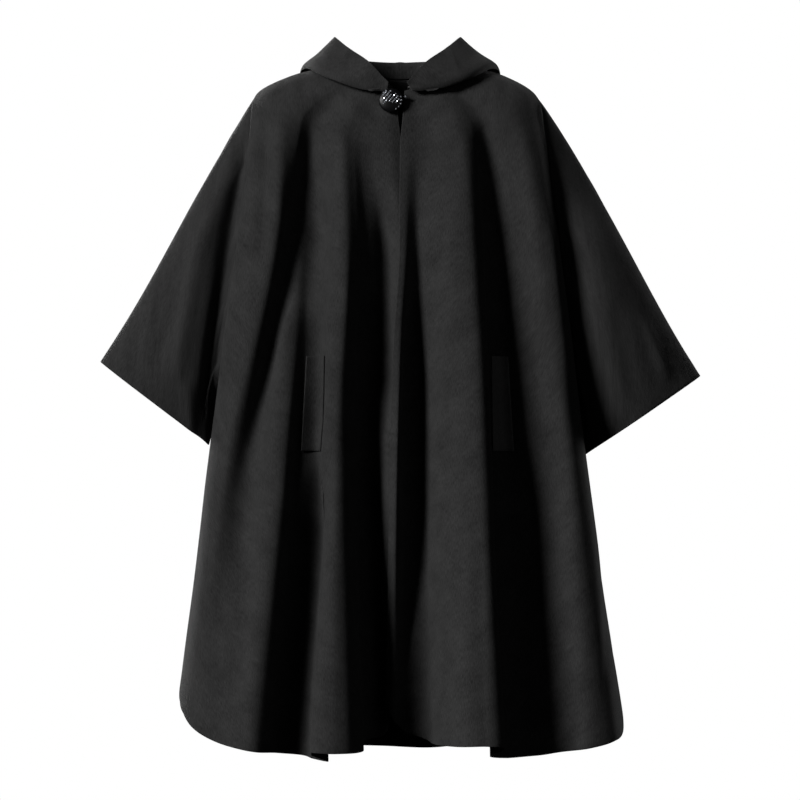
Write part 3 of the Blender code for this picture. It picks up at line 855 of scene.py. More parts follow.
@dataclass(frozen=True)
class PolishedBlack:
    """Black cast resin: a soft, broad gloss over deep black, with fine scuffs that break the gloss up."""

    colour: str = "#070708"
    roughness: float = 0.36
    specular: float = 0.14
    ior: float = 1.55
    scuff_mm: float = 0.4

    def material(self) -> bpy.types.Material:
        """Makes the material, whose scuffs only change the roughness.

        Returns:
            The material.
        """
        made, tree, shader = new_material("polished_black_resin")
        place = add_node(tree, "ShaderNodeTexCoord").outputs["Object"]
        noise = add_node(
            tree,
            "ShaderNodeTexNoise",
            {"Vector": place, "Scale": 1 / (self.scuff_mm * MM), "Detail": 2.0},
        )
        gloss = add_node(
            tree,
            "ShaderNodeMapRange",
            {
                "Value": noise.outputs["Fac"],
                "To Min": self.roughness * 0.7,
                "To Max": self.roughness * 1.5,
            },
        )
        tree.links.new(gloss.outputs["Result"], shader.inputs["Roughness"])
        shader.inputs["Base Color"].default_value = linear(self.colour)
        shader.inputs["IOR"].default_value = self.ior
        shader.inputs["Specular IOR Level"].default_value = self.specular
        return made


@dataclass(frozen=True)
class CutStone:
    """Clear cut glass with a silvered back, as on sew-on stones: bright glints that turn dark between."""

    colour: str = "#eef1f6"
    shade: str = "#b9bfca"
    patch_mm: float = 0.9
    roughness: float = 0.2
    metallic: float = 0.8
    glass_roughness: float = 0.03

    def material(self) -> bpy.types.Material:
        """Makes the material as the silvering seen through the glass: a bright ground under a clear coat.

        Returns:
            The material.
        """
        made, tree, shader = new_material("silvered_cut_glass")
        place = add_node(tree, "ShaderNodeTexCoord").outputs["Object"]
        noise = add_node(tree, "ShaderNodeTexNoise", {"Vector": place, "Scale": 1 / (self.patch_mm * MM)})
        tint = add_node(
            tree,
            "ShaderNodeMix",
            {0: noise.outputs["Fac"], 6: linear(self.colour), 7: linear(self.shade)},
            data_type="RGBA",
        )
        tree.links.new(tint.outputs[2], shader.inputs["Base Color"])
        shader.inputs["Roughness"].default_value = self.roughness
        shader.inputs["Metallic"].default_value = self.metallic
        shader.inputs["Coat Weight"].default_value = 1.0
        shader.inputs["Coat Roughness"].default_value = self.glass_roughness
        return made


def fold_line(fold: Fold, side_knots: tuple[Knot, ...], edge: tuple[Knot, ...] | None) -> np.ndarray:
    """A fold line's points from the neck to the hem.

    Args:
        fold: Its numbers.
        side_knots: The side seam of that half, which the rings end at.
        edge: The front edge that its share counts from, or None on the back.

    Returns:
        One point for each row, (rows, 3).
    """
    knots = []
    for k, ring in enumerate(RINGS):
        start = 0 if edge is None else edge[k].x
        x = start + (side_knots[k].x - start) * abs(fold.share)
        out = fold.yoke_out * k / 2
        knots.append(ring_knot(side_knots[k].drop, ring, side_knots[k], x, out, edge is None))
    knots.append(Knot(CHEST_DROP, fold.chest_x, fold.chest_y, -CHEST_DROP))
    knots.append(Knot(UNDERARM_DROP, fold.underarm_x, fold.underarm_y, -UNDERARM_DROP))
    knots.append(Knot(HEM_DROP, fold.hem_x, fold.hem_y, fold.hem_z))
    return down_knots(tuple(knots), ROWS)


def back_side(knots: tuple[Knot, ...]) -> tuple[Knot, ...]:
    """The back's side seam from the front's: the same line, but behind the arm along the armhole."""
    return tuple(replace(knot, y=abs(knot.y)) for knot in knots)


@dataclass
class Body:
    """The two fronts and the back, which hang in flutes from the shoulders."""

    finish: bpy.types.Material
    unevenness: float = 0.7 * MM
    front_seed: float = 1.3
    back_seed: float = 4.1
    front_finer: int = 6
    back_finer: int = 5
    front_flat: tuple[float, float] = (0.62, 0.95)
    front_area: float = 0.42
    back_flat: tuple[float, float] = (1.10, 1.00)
    back_area: float = 0.651

    def back_lines(self) -> list[np.ndarray]:
        """The back's fold lines, from the wearer's right to the left."""
        return [
            fold_line(fold, RIGHT_FRONT_SIDE if fold.share < 0 else LEFT_FRONT_SIDE, None)
            for fold in BACK_FOLDS.values()
        ]

    def front(self, side: Side) -> Shell:
        """A front, from its edge to its side seam.

        Args:
            side: Which front.

        Returns:
            The front, as yet without creases.
        """
        pattern = FRONTS[side]
        edge, seam = down_knots(pattern.edge, ROWS), down_knots(pattern.seam, ROWS)
        lines = [fold_line(fold, pattern.seam, pattern.edge) for fold in pattern.folds.values()]
        counts = [EDGE_COLUMNS, *(fold.columns for fold in pattern.folds.values())]
        beyond = self.back_lines()[0 if side is Side.RIGHT else -1]
        points = loft(
            [edge, *lines, seam], [n * self.front_finer for n in counts], 2 * edge - lines[0], beyond
        )
        return Shell(f"front_{side.name.lower()}", points, -side.value)

    def back(self) -> Shell:
        """The back, from the right side seam to the left one.

        Returns:
            The back, as yet without creases.
        """
        beyond = [fold_line(front.folds["arm_edge"], front.seam, front.edge) for front in FRONTS.values()]
        seams = [down_knots(back_side(front.seam), ROWS) for front in FRONTS.values()]
        counts = [EDGE_COLUMNS, *(fold.columns for fold in BACK_FOLDS.values())]
        points = loft(
            [seams[0], *self.back_lines(), seams[1]], [n * self.back_finer for n in counts], *beyond
        )
        return Shell("back", points, 1)

    def make(self, front_shells: dict[Side, Shell], back_shell: Shell) -> list[bpy.types.Object]:
        """Creases, sews and builds the three panels.

        Args:
            front_shells: The fronts, as front gives them.
            back_shell: The back, as back gives it.

        Returns:
            Their objects.
        """
        made = []
        for k, (side, shell) in enumerate(front_shells.items()):
            shell.press(FRONTS[side].creases, (Edge.LAST, Edge.TOP))
            shell.wave(self.unevenness, self.front_seed + k)
            shell.turn_in(Edge.FIRST)
            shell.turn_in(Edge.LAST, -SEAM_OVERLAP, SEAM_DENT)
            made.append(self.hang(shell))
        back_shell.press(BACK_CREASES, (Edge.FIRST, Edge.LAST, Edge.TOP))
        back_shell.wave(self.unevenness, self.back_seed)
        for edge in (Edge.FIRST, Edge.LAST):
            back_shell.turn_in(edge, -SEAM_OVERLAP, SEAM_DENT)
        made.append(self.hang(back_shell))
        return made

    def hang(self, shell: Shell) -> bpy.types.Object:
        """Args:
            shell: The panel.

        Returns:
            Its object.
        """
        shell.turn_in(Edge.TOP, SEAM_GAP / 2)
        shell.turn_in(Edge.FOOT)
        piece = placed(shell.build(self.finish), "wool", shell.name)
        return piece


@dataclass(frozen=True)
class Cuff:
    """A sleeve's cuff: its ring's top and bottom, its two layers' depths, and its top line's shape."""

    top: tuple[float, float, float]
    bottom: tuple[float, float, float]
    front_depth: float
    back_depth: float
    top_swell: float
    top_sag: float

    def line(self, shares: np.ndarray, depth: float) -> np.ndarray:
        """Points down one side of the cuff, at the shares of the armhole's length.

        The way down is (1 - cos(pi s)) / 2, and the depth is sin(pi s), less UNDERARM_EASE at the bottom.

        Args:
            shares: The shares, from 0 at the top to 1 at the bottom.
            depth: How far the layer stands off the cuff's own plane, and which way.

        Returns:
            The points in metres, one for each share.
        """
        top, bottom = np.array(self.top, float), np.array(self.bottom, float)
        down = (1 - np.cos(np.pi * shares)) / 2
        points = top + (bottom - top) * down[:, None]
        points[:, 1] += depth * np.sin(np.pi * shares) * (1 - UNDERARM_EASE * down)
        return points * MM


# Columns of the solid's mesh along a sleeve, how far its middle swells, and how much flatter its bottom is.
SLEEVE_COLUMNS, SLEEVE_SWELL, UNDERARM_EASE = 9, 16, 0.35
CUFFS = {
    Side.RIGHT: Cuff((-424, 2, -405), (-269, 0, -523), 45, 42, 3, 6),
    Side.LEFT: Cuff((425, 2, -425), (262, 0, -536), 46, 42, 9, 5),
}
SLEEVE_CREASES = {
    Side.RIGHT: (
        Crease(-216, -80, -278, -540, 16, -15, bow=-2, fade_in=0.12, fade_out=0.2),
        Crease(-262, -150, -318, -470, 15, 7, bow=-6),
        Crease(-292, -240, -352, -430, 12, -3.5, bow=5),
        Crease(-300, -420, -292, -520, 9, 2.5),
    ),
    Side.LEFT: (
        Crease(248, -150, 346, -560, 52, 17, fade_in=0.25, fade_out=0.1, level=True),
        Crease(336, -330, 380, -440, 8, 4, fade_in=0.4),
        Crease(300, -300, 336, -480, 13, -3, bow=-4),
    ),
}


@dataclass
class Sleeves:
    """The two wide sleeves, each lofted from its armhole to its cuff."""

    finish: bpy.types.Material
    finer: int = 8
    unevenness: float = 0.9 * MM
    seed: float = 6.2
    flat: tuple[float, float] = (0.55, 0.48)
    area: float = 0.129

    def shape(self, front: Shell, back: Shell, side: Side) -> Shell:
        """A sleeve from the unsewn fronts' and back's own armholes.

        At t of the way out, the ring is the armhole's plus t times the way to the cuff's, moved out by
        SLEEVE_SWELL sin(pi t) sin(pi s), where s goes from the top, 0, to the bottom, 1. The top line is
        lifted by sin(pi t) times the cuff's top_swell near the armhole and its top_sag, downwards, near
        the cuff, both dying out as (1 - s)^4.

        Args:
            front: The front on that side, as yet without creases.
            back: The back, as yet without creases.
            side: Which sleeve.

        Returns:
            The sleeve, as yet without creases.
        """
        cuff, hole = CUFFS[side], slice(ARMHOLE_TOP, ARMHOLE_FOOT + 1)
        down_front, down_back = front.points[hole, -1], back.points[hole, 0 if side is Side.RIGHT else -1]
        lengths = np.linalg.norm(np.diff(down_front, axis=0), axis=1)
        shares = np.concatenate([[0], np.cumsum(lengths)]) / lengths.sum()
        armhole = np.concatenate([down_front, down_back[-2:0:-1]])
        cuff_back = cuff.line(shares, cuff.back_depth)
        ring = np.concatenate([cuff.line(shares, -cuff.front_depth), cuff_back[-2:0:-1]])
        around = np.concatenate([shares, shares[-2:0:-1]])
        way_out = np.concatenate([-np.ones(len(shares)), np.ones(len(shares) - 2)])
        t = np.linspace(0, 1, SLEEVE_COLUMNS * self.finer + 1)[:, None]
        points = armhole + (ring - armhole) * t[..., None]
        points[..., 1] += way_out * SLEEVE_SWELL * MM * np.sin(np.pi * t) * np.sin(np.pi * around)
        lift = np.sin(np.pi * t) * ((1 - t) * cuff.top_swell - t * cuff.top_sag) * (1 - around) ** 4 * MM
        points += lift[..., None] * np.array((side.value, 0, 1))
        return Shell(f"sleeve_{side.name.lower()}", points, side.value, closed=True)

    def make(self, shell: Shell, side: Side) -> bpy.types.Object:
        """Creases, sews and builds one sleeve.

        Args:
            shell: The sleeve, as shape gives it.
            side: Which sleeve.

        Returns:
            Its object.
        """
        shell.press(SLEEVE_CREASES[side], (Edge.TOP,))
        shell.wave(self.unevenness, self.seed + side.value)
        shell.turn_in(Edge.TOP, -SEAM_OVERLAP, SEAM_DENT)
        shell.turn_in(Edge.FOOT)
        piece = placed(shell.build(self.finish), "wool", shell.name)
        return piece


@dataclass(frozen=True)
class HoodStation:
    """The hood's section at one angle round the neck, counted from the front."""

    angle: float
    rise: float
    fold_x: float
    fold_y: float
    fold_z: float
    edge_x: float
    edge_y: float
    edge_z: float
    swell: float
    turn: float


HOOD_STATIONS = (
    HoodStation(8, 2, -17, -85, -28, -17, -88, -16, 0, 3),
    HoodStation(26, 5, -46, -82, -28, -42, -72, 13, 6, 5),
    HoodStation(58, 8, -100, -64, -9, -72, -41, 36, 5, 6),
    HoodStation(90, 10, -132, -8, 9, -92, -8, 54, 1, 5),
    HoodStation(118, 13, -143, 58, -4, -84, 42, 46, 5, 7),
    HoodStation(146, 18, -118, 120, -114, -54, 98, 28, 22, 12),
    HoodStation(180, 23, 0, 134, -240, 0, 126, 12, 34, 16),
)
# Columns of the solid's mesh between two stations, and its rows between two points of a section.
HOOD_COLUMNS, HOOD_ROWS = 3, (2, 3, 3, 2, 2, 3, 4)
# How far the roll stands off the neck seam, and how much nearer to the neck the left edge lies.
HOOD_STAND, LEFT_EDGE_SHIFT = 3, 7
# The swell's shares out and up in the inner layer, and up in the outer one.
INNER_SWELL, OUTER_RISE = (0.2, 0.6), 0.2
HOOD_CREASES = {
    Side.RIGHT: (Crease(-70, 40, -88, -6, 5, 1.6), Crease(-30, 10, -40, -140, 14, -3)),
    Side.LEFT: (Crease(64, 44, 84, -4, 5, 1.6), Crease(44, 6, 56, -150, 14, -3)),
}


@dataclass
class Hood:
    """The two halves of the hood, folded down round the neck and over the back."""

    finish: bpy.types.Material
    finer_down: int = 4
    finer_round: int = 5
    unevenness: float = 0.8 * MM
    seed: float = 8.4
    rise_over_fold: float = 3 * MM
    flat: tuple[float, float] = (0.30, 0.40)
    area: float = 0.087

    def section(self, station: HoodStation, side: Side) -> np.ndarray:
        """The cloth at one station, from the neck seam, round the lower fold, to the face edge.

        Args:
            station: Its numbers.
            side: Which half, because the left one's edge stands nearer to the neck.

        Returns:
            Eight points in metres, (8, 3), on the wearer's right.
        """
        turn = math.radians(station.angle)
        out = np.array((-math.sin(turn), -math.cos(turn), 0))
        seam = self.neck_point(turn)
        roll = seam + out * HOOD_STAND + (0, 0, station.rise)
        fold = np.array((station.fold_x, station.fold_y, station.fold_z), float)
        shift = LEFT_EDGE_SHIFT * min(1, (180 - station.angle) / 90) if side is Side.LEFT else 0
        edge = np.array((station.edge_x + shift, station.edge_y, station.edge_z), float)
        inner = (roll + fold) / 2 + (out * INNER_SWELL[0] + (0, 0, INNER_SWELL[1])) * station.swell
        outer = (fold + edge) / 2 + (out + (0, 0, OUTER_RISE)) * station.swell
        inside = unit(unit(inner - fold) + unit(outer - fold))
        up = outer - fold
        up = unit(up - inside * (up @ inside))
        under, over = fold + (inside - up) * station.turn, fold + (inside + up) * station.turn
        return np.stack([seam, roll, inner, under, fold, over, outer, edge]) * MM

    @staticmethod
    def neck_point(turn: float) -> np.ndarray:
        """A point of the right half of the neck seam, which is an ellipse.

        Args:
            turn: How far round the neck it lies from the front, in radians.

        Returns:
            The point, in millimetres.
        """
        half_width, ring, is_back = -RIGHT_FRONT_SIDE[0].x, RINGS[0], turn > math.pi / 2
        depth, centre_z = (ring.back, ring.back_z) if is_back else (ring.front, ring.front_z)
        z = ring_height(math.sin(turn), centre_z, RIGHT_FRONT_SIDE[0].z)
        return np.array((-half_width * math.sin(turn), -depth * math.cos(turn), z + SEAM_GAP / MM))

    def shape(self, side: Side) -> Shell:
        """Half of the hood: rows from the neck seam to the face edge, columns from front to back.

        The layer below the lower fold never hangs lower than the fold.

        Args:
            side: Which half.

        Returns:
            The half, as yet without creases.
        """
        sections = [self.section(station, side) for station in HOOD_STATIONS]
        counts = [HOOD_COLUMNS * self.finer_round] * (len(sections) - 1)
        mirrored = sections[-2] * (-1, 1, 1)
        rows = list(loft(sections, counts, 2 * sections[0] - sections[1], mirrored))
        counts = [n * self.finer_down for n in HOOD_ROWS]
        points = loft(rows, counts, 2 * rows[0] - rows[1], 2 * rows[-1] - rows[-2]).transpose(1, 0, 2)
        fold = sum(HOOD_ROWS[:4]) * self.finer_down
        above = (1 - np.arange(fold) / fold)[:, None] * self.rise_over_fold
        points[:fold, :, 2] = np.maximum(points[:fold, :, 2], points[fold, :, 2] + above)
        if side is Side.LEFT:
            points = points * (-1, 1, 1)
        return Shell(f"hood_{side.name.lower()}", points, side.value)

    def make(self, side: Side) -> bpy.types.Object:
        """Creases, sews and builds one half.

        Args:
            side: Which half.

        Returns:
            Its object.
        """
        shell = self.shape(side)
        shell.press(HOOD_CREASES[side])
        shell.wave(self.unevenness, self.seed + side.value)
        shell.turn_in(Edge.LAST, -SEAM_OVERLAP, SEAM_DENT)
        for edge in (Edge.FIRST, Edge.TOP, Edge.FOOT):
            shell.turn_in(edge)
        piece = placed(shell.build(self.finish), "wool", shell.name)
        return piece


@dataclass
class Pockets:
    """The two welts, which stand a little off the fronts along the pockets' mouths."""

    finishes: dict[Side, bpy.types.Material]
    thickness: float = 2.2 * MM
    lift: float = 2.4 * MM
    flat: tuple[float, float] = (0.03, 0.14)
    area: float = 0.0037

    def make(self, front: Shell, side: Side, finer: int) -> bpy.types.Object:
        """A welt over the front's own points, between the flute and the pocket's edge.

        Args:
            front: The front as it is sewn.
            side: Which front.
            finer: How many of its columns lie in one of the solid's.

        Returns:
            The welt's object.
        """
        folds = FRONTS[side].folds
        names = list(folds)
        column = {
            name: EDGE_COLUMNS + sum(folds[other].columns for other in names[:k])
            for k, name in enumerate(names)
        }
        top, foot = np.searchsorted(ROWS, (POCKET_TOP_DROP, UNDERARM_DROP))
        rows = slice(top, foot + 1)
        columns = slice((column["under_flute"] + 1) * finer, column["pocket_edge"] * finer + 1)
        points, normals = front.points[rows, columns], front.normals[rows, columns]
        lift = np.linspace(SEAM_GAP, self.lift, points.shape[1])[None, :, None]
        name = f"pocket_welt_{side.name.lower()}"
        shell = Shell(name, points + normals * (lift + self.thickness), -side.value)
        shell.thickness = self.thickness
        for edge in Edge:
            shell.turn_in(edge)
        piece = placed(shell.build(self.finishes[side]), "wool", name)
        return piece


@dataclass
class Clasp:
    """The round button with its stones, its shank, and the short link to the left front."""

    black: bpy.types.Material
    stone: bpy.types.Material
    diameter: float = 34.0
    rim: float = 2.6
    dome: float = 5.0
    centre_x: float = -12.5
    centre_z: float = -42.0
    tilt: float = 10.0
    shank_radius: float = 3.0
    shank_length: float = 7.4
    sides: int = 96
    # Each row: how far it lies across the slant, and its two ends along it, from the lower left.
    stone_rows: tuple[tuple[float, float, float], ...] = (
        (-12.6, -1.5, 4.5),
        (-8.6, -7.5, 9.5),
        (-4.4, -11.0, 7.5),
        (-0.2, -3.0, 12.5),
        (4.0, -1.5, 11.5),
        (8.2, 1.5, 8.5),
    )
    slant: float = 50.0
    stone_pitch: float = 2.75
    stone_width: float = 2.2
    third_wider: float = 0.5  # by how much every third stone of the rows is wider
    set_turn: float = 2.4  # radians from the way that one stone leans to the way of the next
    set_lean: float = 0.22  # how far it leans, as the slope of its seat
    # The angles of the stones along the rim, in degrees.
    rim_stones: tuple[float, ...] = (18, -2, -22, -42, -62, 118, 134)
    rim_radius: float = 14.6
    rim_stone_width: float = 2.5
    link_depth: float = 0.8
    # Each stone of the link: its x, its z and its width.
    link_stones: tuple[tuple[float, float, float], ...] = ((2.4, -36.9, 3.4), (7.2, -36.3, 3.8))

    def placed_by(self) -> tuple[np.ndarray, np.ndarray]:
        """Where the button is, from its solid's own box.

        Returns:
            Its turn as a matrix, and its middle in metres.
        """
        t = math.radians(self.tilt)
        turn = np.array(((1, 0, 0), (0, math.cos(t), math.sin(t)), (0, -math.sin(t), math.cos(t))))
        behind = self.shank_length * math.cos(t) + self.shank_radius * math.sin(t)
        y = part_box("clasp_button")[1][1] - behind * MM
        return turn, np.array((self.centre_x * MM, y, self.centre_z * MM))

    def dome_height(self, r: np.ndarray) -> np.ndarray:
        """How far the dome stands out at a distance r from its middle: a quarter ellipse."""
        return self.rim + self.dome * np.sqrt(np.clip(1 - (r / (self.diameter / 2)) ** 2, 0, 1))

    def button(self) -> bpy.types.Object:
        """The button: a profile turned round its axis, closed by poles at its face and its shank.

        The profile goes from the shank's end over the back and the rim to the dome, a quarter ellipse.

        Returns:
            Its object.
        """
        radius, shank, back = self.diameter / 2, self.shank_radius, self.shank_length
        turn = np.linspace(0, math.pi / 2, 15)[:-1]
        pole = 0.001  # the radius of the small faces that close it
        bevel, fillet = 0.4, 0.6  # the shank's end, and its foot on the back
        soft, crisp = 0.5, 0.1  # the rim's edge at the back, and its edge at the dome
        profile = [(pole, back), (shank - bevel, back), (shank, back - bevel)]
        profile += [(shank, fillet), (shank + fillet, 0), (radius - soft, 0)]
        profile += [(radius, -soft), (radius, crisp - self.rim)]
        profile += [(radius * math.cos(a), -self.rim - self.dome * math.sin(a)) for a in turn[1:]]
        profile += [(pole, -self.rim - self.dome)]
        profile = np.array(profile) * MM
        a = np.linspace(0, math.tau, self.sides, endpoint=False)
        grid = np.stack(
            [
                np.outer(profile[:, 0], np.cos(a)),
                np.repeat(profile[:, 1:], self.sides, axis=1),
                np.outer(profile[:, 0], np.sin(a)),
            ],
            axis=-1,
        )
        rotation, middle = self.placed_by()
        grid = grid @ rotation.T + middle
        rows = len(profile)
        index = np.arange(rows * self.sides).reshape(rows, self.sides)
        far = np.roll(index, -1, axis=1)
        faces = np.stack([index[:-1], index[1:], far[1:], far[:-1]], axis=-1).reshape(-1, 4)
        mesh = bpy.data.meshes.new("clasp_button")
        caps = [index[0].tolist(), index[-1][::-1].tolist()]
        mesh.from_pydata(grid.reshape(-1, 3).tolist(), [], faces.tolist() + caps)
        made = finished("clasp_button_dressed", mesh, self.black, 35)
        return placed(made, "button", "clasp_button")

    def stone_mesh(
        self, name: str, places: np.ndarray, ways: np.ndarray, widths: np.ndarray
    ) -> bpy.types.Object:
        """Cut stones, each a low eight-sided pyramid cut off at a flat table.

        Args:
            name: The object's name.
            places: The stones' seats, (n, 3), in metres.
            ways: Which way each stone faces, (n, 3).
            widths: Their widths, (n,), in metres.

        Returns:
            One object with all the stones.
        """
        sides = 8
        a = np.linspace(0, math.tau, sides, endpoint=False)
        rings = ((0.46, -0.12), (0.5, 0.0), (0.5, 0.08), (0.30, 0.26))  # radius and height, in widths
        local = np.concatenate(
            [np.stack([r * np.cos(a), r * np.sin(a), 0 * a + h], axis=1) for r, h in rings]
        )
        side_a = unit(np.cross(ways, (0.3, 0.1, 1.0)))
        side_b = np.cross(ways, side_a)
        basis = np.stack([side_a, side_b, ways], axis=1)
        points = places[:, None] + (local @ basis) * widths[:, None, None]
        ring = np.arange(len(local)).reshape(-1, sides)
        far = np.roll(ring, -1, axis=1)
        quads = np.stack([ring[:-1], far[:-1], far[1:], ring[1:]], axis=-1).reshape(-1, 4)
        faces = []
        for k in range(len(places)):
            faces += (quads + ring.size * k).tolist()
            faces += [(ring[0][::-1] + ring.size * k).tolist(), (ring[-1] + ring.size * k).tolist()]
        mesh = bpy.data.meshes.new(name)
        mesh.from_pydata(points.reshape(-1, 3).tolist(), [], faces)
        return finished(name, mesh, self.stone, 15)

    def stones(self) -> bpy.types.Object:
        """The stones on the dome: slanting rows, and arcs along the rim.

        Each stone faces the way that the dome does under it, and leans a little to a side of its own.

        Returns:
            One object with all of them.
        """
        slant = math.radians(self.slant)
        along = np.array((math.cos(slant), math.sin(slant)))
        over = np.array((math.sin(slant), -math.cos(slant)))
        flat, widths = [], []
        for place, start, end in self.stone_rows:
            for s in np.arange(start, end, self.stone_pitch):
                flat.append(along * s + over * place)
                widths.append(self.stone_width + self.third_wider * (len(widths) % 3 == 0))
        for angle in self.rim_stones:
            a = math.radians(angle)
            flat.append(np.array((math.cos(a), math.sin(a))) * self.rim_radius)
            widths.append(self.rim_stone_width)
        flat = np.array(flat)
        r = np.linalg.norm(flat, axis=1)
        height = self.dome_height(r)
        flattest = 0.8  # keeps the slope within bounds at the rim
        slope = np.maximum(height - self.rim, flattest)[:, None]
        lean = flat / (self.diameter / 2) ** 2 * self.dome**2 / slope
        turn = np.arange(len(flat)) * self.set_turn
        lean = lean + self.set_lean * np.stack([np.cos(turn), np.sin(turn)], axis=1)
        ways = unit(np.stack([lean[:, 0], -np.ones(len(flat)), lean[:, 1]], axis=1))
        places = np.stack([flat[:, 0], -height, flat[:, 1]], axis=1) * MM
        rotation, middle = self.placed_by()
        piece = self.stone_mesh(
            "clasp_stones", places @ rotation.T + middle, ways @ rotation.T, np.array(widths) * MM
        )
        return placed(piece, "stones")

    def link(self) -> list[bpy.types.Object]:
        """The link: a rounded bar from behind the button to the left front, and two stones on it.

        The bar is a superellipse |y|^4 + |z|^4 = 1 carried from end to end, with its ends drawn in to a
        third.

        Returns:
            The bar's object and the stones' object.
        """
        low, high = (np.array(corner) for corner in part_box("clasp_link"))
        depth, height = self.link_depth * MM, (high[2] - low[2]) / 2
        middle_z = (high[2] + low[2]) / 2
        start = np.array((low[0], high[1] - depth, middle_z))
        end = np.array((high[0], low[1] + depth, middle_z))
        button_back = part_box("clasp_button")[1][1]
        if abs(button_back - high[1]) > abs(button_back - low[1]):
            start[1], end[1] = end[1], start[1]
        steps = np.array((0.0, 0.004, 0.03, 0.5, 0.97, 0.996, 1.0))
        shrink = np.array((0.33, 0.8, 1.0, 1.0, 1.0, 0.8, 0.33))
        sides = 24
        a = np.linspace(0, math.tau, sides, endpoint=False)
        bulge = [np.sign(wave) * np.abs(wave) ** 0.5 for wave in (np.cos(a), np.sin(a))]
        ring = np.stack([0 * a, bulge[0] * depth, bulge[1] * height], axis=1)
        grid = (start + (end - start) * steps[:, None])[:, None] + ring * shrink[:, None, None]
        index = np.arange(len(steps) * sides).reshape(-1, sides)
        far = np.roll(index, -1, axis=1)
        faces = np.stack([index[:-1], index[1:], far[1:], far[:-1]], axis=-1).reshape(-1, 4).tolist()
        mesh = bpy.data.meshes.new("clasp_link")
        caps = [index[0].tolist(), index[-1][::-1].tolist()]
        mesh.from_pydata(grid.reshape(-1, 3).tolist(), [], faces + caps)
        bar = placed(finished("clasp_link_bar", mesh, self.black, 35), "button", "clasp_link")
        share = [(x * MM - start[0]) / (end[0] - start[0]) for x, _, _ in self.link_stones]
        places = np.array([
            (x * MM, start[1] + (end[1] - start[1]) * t - depth, z * MM)
            for (x, z, _), t in zip(self.link_stones, share)
        ])
        widths = np.array([width for _, _, width in self.link_stones]) * MM
        ways = unit(np.array(((-0.1, -1.0, 0.25),) * len(places)))
        return [bar, placed(self.stone_mesh("clasp_link_stones", places, ways, widths), "stones")]


@dataclass(frozen=True)
class Sun:
    """A soft, far light: the way it shines, its strength and its softness in radians."""

    name: str
    way: tuple[float, float, float]
    strength: float
    softness: float

    def make(self) -> None:
        """Adds the light."""
        light = bpy.data.lights.new(self.name, "SUN")
        light.energy, light.angle = self.strength, self.softness
        made = bpy.data.objects.new(self.name, light)
        made.rotation_euler = Vector(self.way).to_track_quat("-Z", "Y").to_euler()
        bpy.context.scene.collection.objects.link(made)


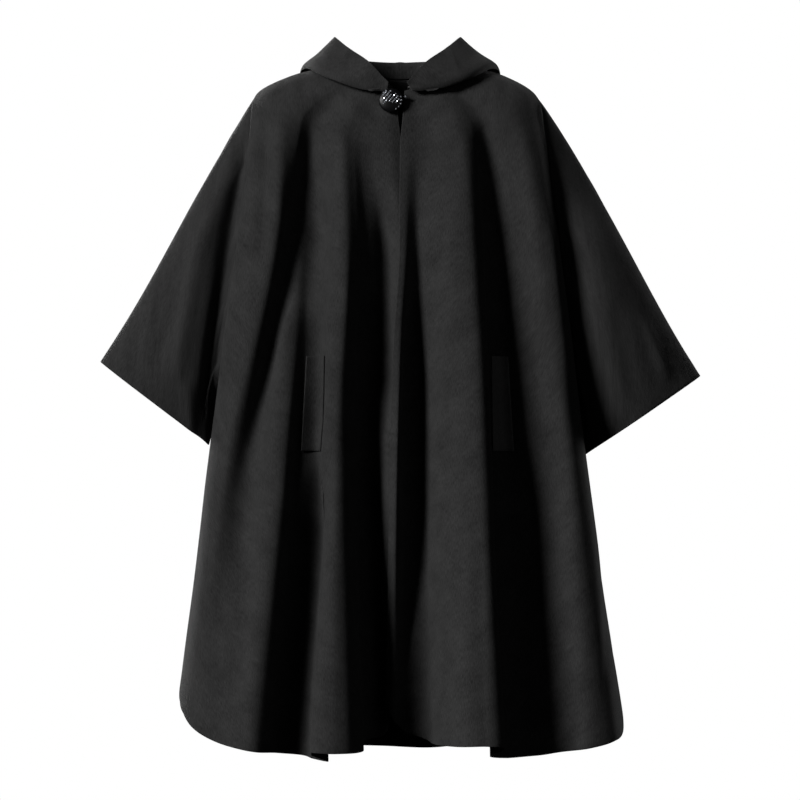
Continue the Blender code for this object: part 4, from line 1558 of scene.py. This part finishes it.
@dataclass
class Studio:
    """The pale floor, the white surroundings, the soft lights and the camera."""

    floor_z: float = -1.6
    floor_radius: float = 5.0
    floor_sides: int = 128
    floor_colour: str = "#f2f2f0"
    floor_glow: str = "#f4f4f2"
    floor_glow_strength: float = 0.8
    floor_roughness: float = 0.8
    camera_distance: float = 6.0
    camera_z: float = -0.459
    coat_distance: float = 5.94
    view_width: float = 1.12
    sensor_width: float = 36.0
    sight: float = 60.0  # how far the camera sees
    ambient: float = 0.009
    suns: tuple[Sun, ...] = (
        Sun("key", (0.76, 0.64, -0.38), 4.8, 0.34),
        Sun("fill", (-0.60, 0.78, -0.2), 0.13, 0.6),
        Sun("back_key", (0.5, -0.9, -0.3), 2.8, 0.4),
        Sun("side", (-0.7, -0.72, -0.25), 1.3, 0.5),
    )

    def make(self) -> None:
        """Adds the floor, the surroundings, the lights and the camera."""
        self.floor()
        self.surroundings()
        for sun in self.suns:
            sun.make()
        self.camera()
        bpy.context.scene.view_settings.view_transform = "Standard"

    def floor(self) -> None:
        """A round, plain floor below the coat, which doesn't light the coat from below."""
        a = np.linspace(0, math.tau, self.floor_sides, endpoint=False)
        x, y = self.floor_radius * np.cos(a), self.floor_radius * np.sin(a)
        ring = np.stack([x, y, 0 * a + self.floor_z], axis=1)
        mesh = bpy.data.meshes.new("floor")
        mesh.from_pydata(ring.tolist(), [], [list(range(self.floor_sides))])
        made, _, shader = new_material("pale_painted_floor")
        shader.inputs["Base Color"].default_value = linear(self.floor_colour)
        shader.inputs["Emission Color"].default_value = linear(self.floor_glow)
        shader.inputs["Emission Strength"].default_value = self.floor_glow_strength
        shader.inputs["Roughness"].default_value = self.floor_roughness
        piece = finished("floor", mesh, made)
        piece.visible_diffuse = piece.visible_glossy = False

    def surroundings(self) -> None:
        """White where the camera sees them, and dim where they only light the coat."""
        world = bpy.data.worlds.new("studio")
        world.use_nodes = True
        bpy.context.scene.world = world
        tree = world.node_tree
        tree.nodes.clear()
        white = add_node(tree, "ShaderNodeBackground", {"Color": (1, 1, 1, 1), "Strength": 1.0})
        dim = add_node(tree, "ShaderNodeBackground", {"Color": (1, 1, 1, 1), "Strength": self.ambient})
        seen = add_node(tree, "ShaderNodeLightPath").outputs["Is Camera Ray"]
        mixed = add_node(tree, "ShaderNodeMixShader", {0: seen, 1: dim.outputs[0], 2: white.outputs[0]})
        add_node(tree, "ShaderNodeOutputWorld", {"Surface": mixed.outputs[0]})

    def camera(self) -> None:
        """A long lens that looks straight at the front, level with the coat's middle."""
        lens = bpy.data.cameras.new("camera")
        lens.sensor_width = self.sensor_width
        lens.lens = self.sensor_width * self.coat_distance / self.view_width
        lens.clip_end = self.sight
        made = bpy.data.objects.new("camera", lens)
        made.location = (0, -self.camera_distance, self.camera_z)
        made.rotation_euler = (math.pi / 2, 0, 0)
        bpy.context.scene.collection.objects.link(made)
        bpy.context.scene.camera = made


def main() -> None:
    """Builds the coat piece by piece, then the studio."""
    logging.basicConfig(level=logging.INFO, format="%(name)s: %(message)s")
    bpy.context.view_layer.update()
    wool = BrushedWool().material()
    # The left welt's wool: a lighter copy of the black wool. Its lighter colours paint light onto the welt
    # where it lies in the flute's shadow.
    welt_wool_painted_light = BrushedWool("black_wool_painted_lighter", "#3c3c3c", "#4c4c4c", bump_mm=0.3).material()
    black, stone = PolishedBlack().material(), CutStone().material()
    body = Body(wool)
    fronts, back = {side: body.front(side) for side in Side}, body.back()
    sleeves, hood, pockets = Sleeves(wool), Hood(wool), Pockets({Side.RIGHT: wool, Side.LEFT: welt_wool_painted_light})
    sleeve_shells = {side: sleeves.shape(fronts[side], back, side) for side in Side}
    body.make(fronts, back)
    for side in Side:
        sleeves.make(sleeve_shells[side], side)
        hood.make(side)
        pockets.make(fronts[side], side, body.front_finer)
    clasp = Clasp(black, stone)
    clasp.button()
    clasp.stones()
    clasp.link()
    Studio().make()


if __name__ == "__main__":
    main()
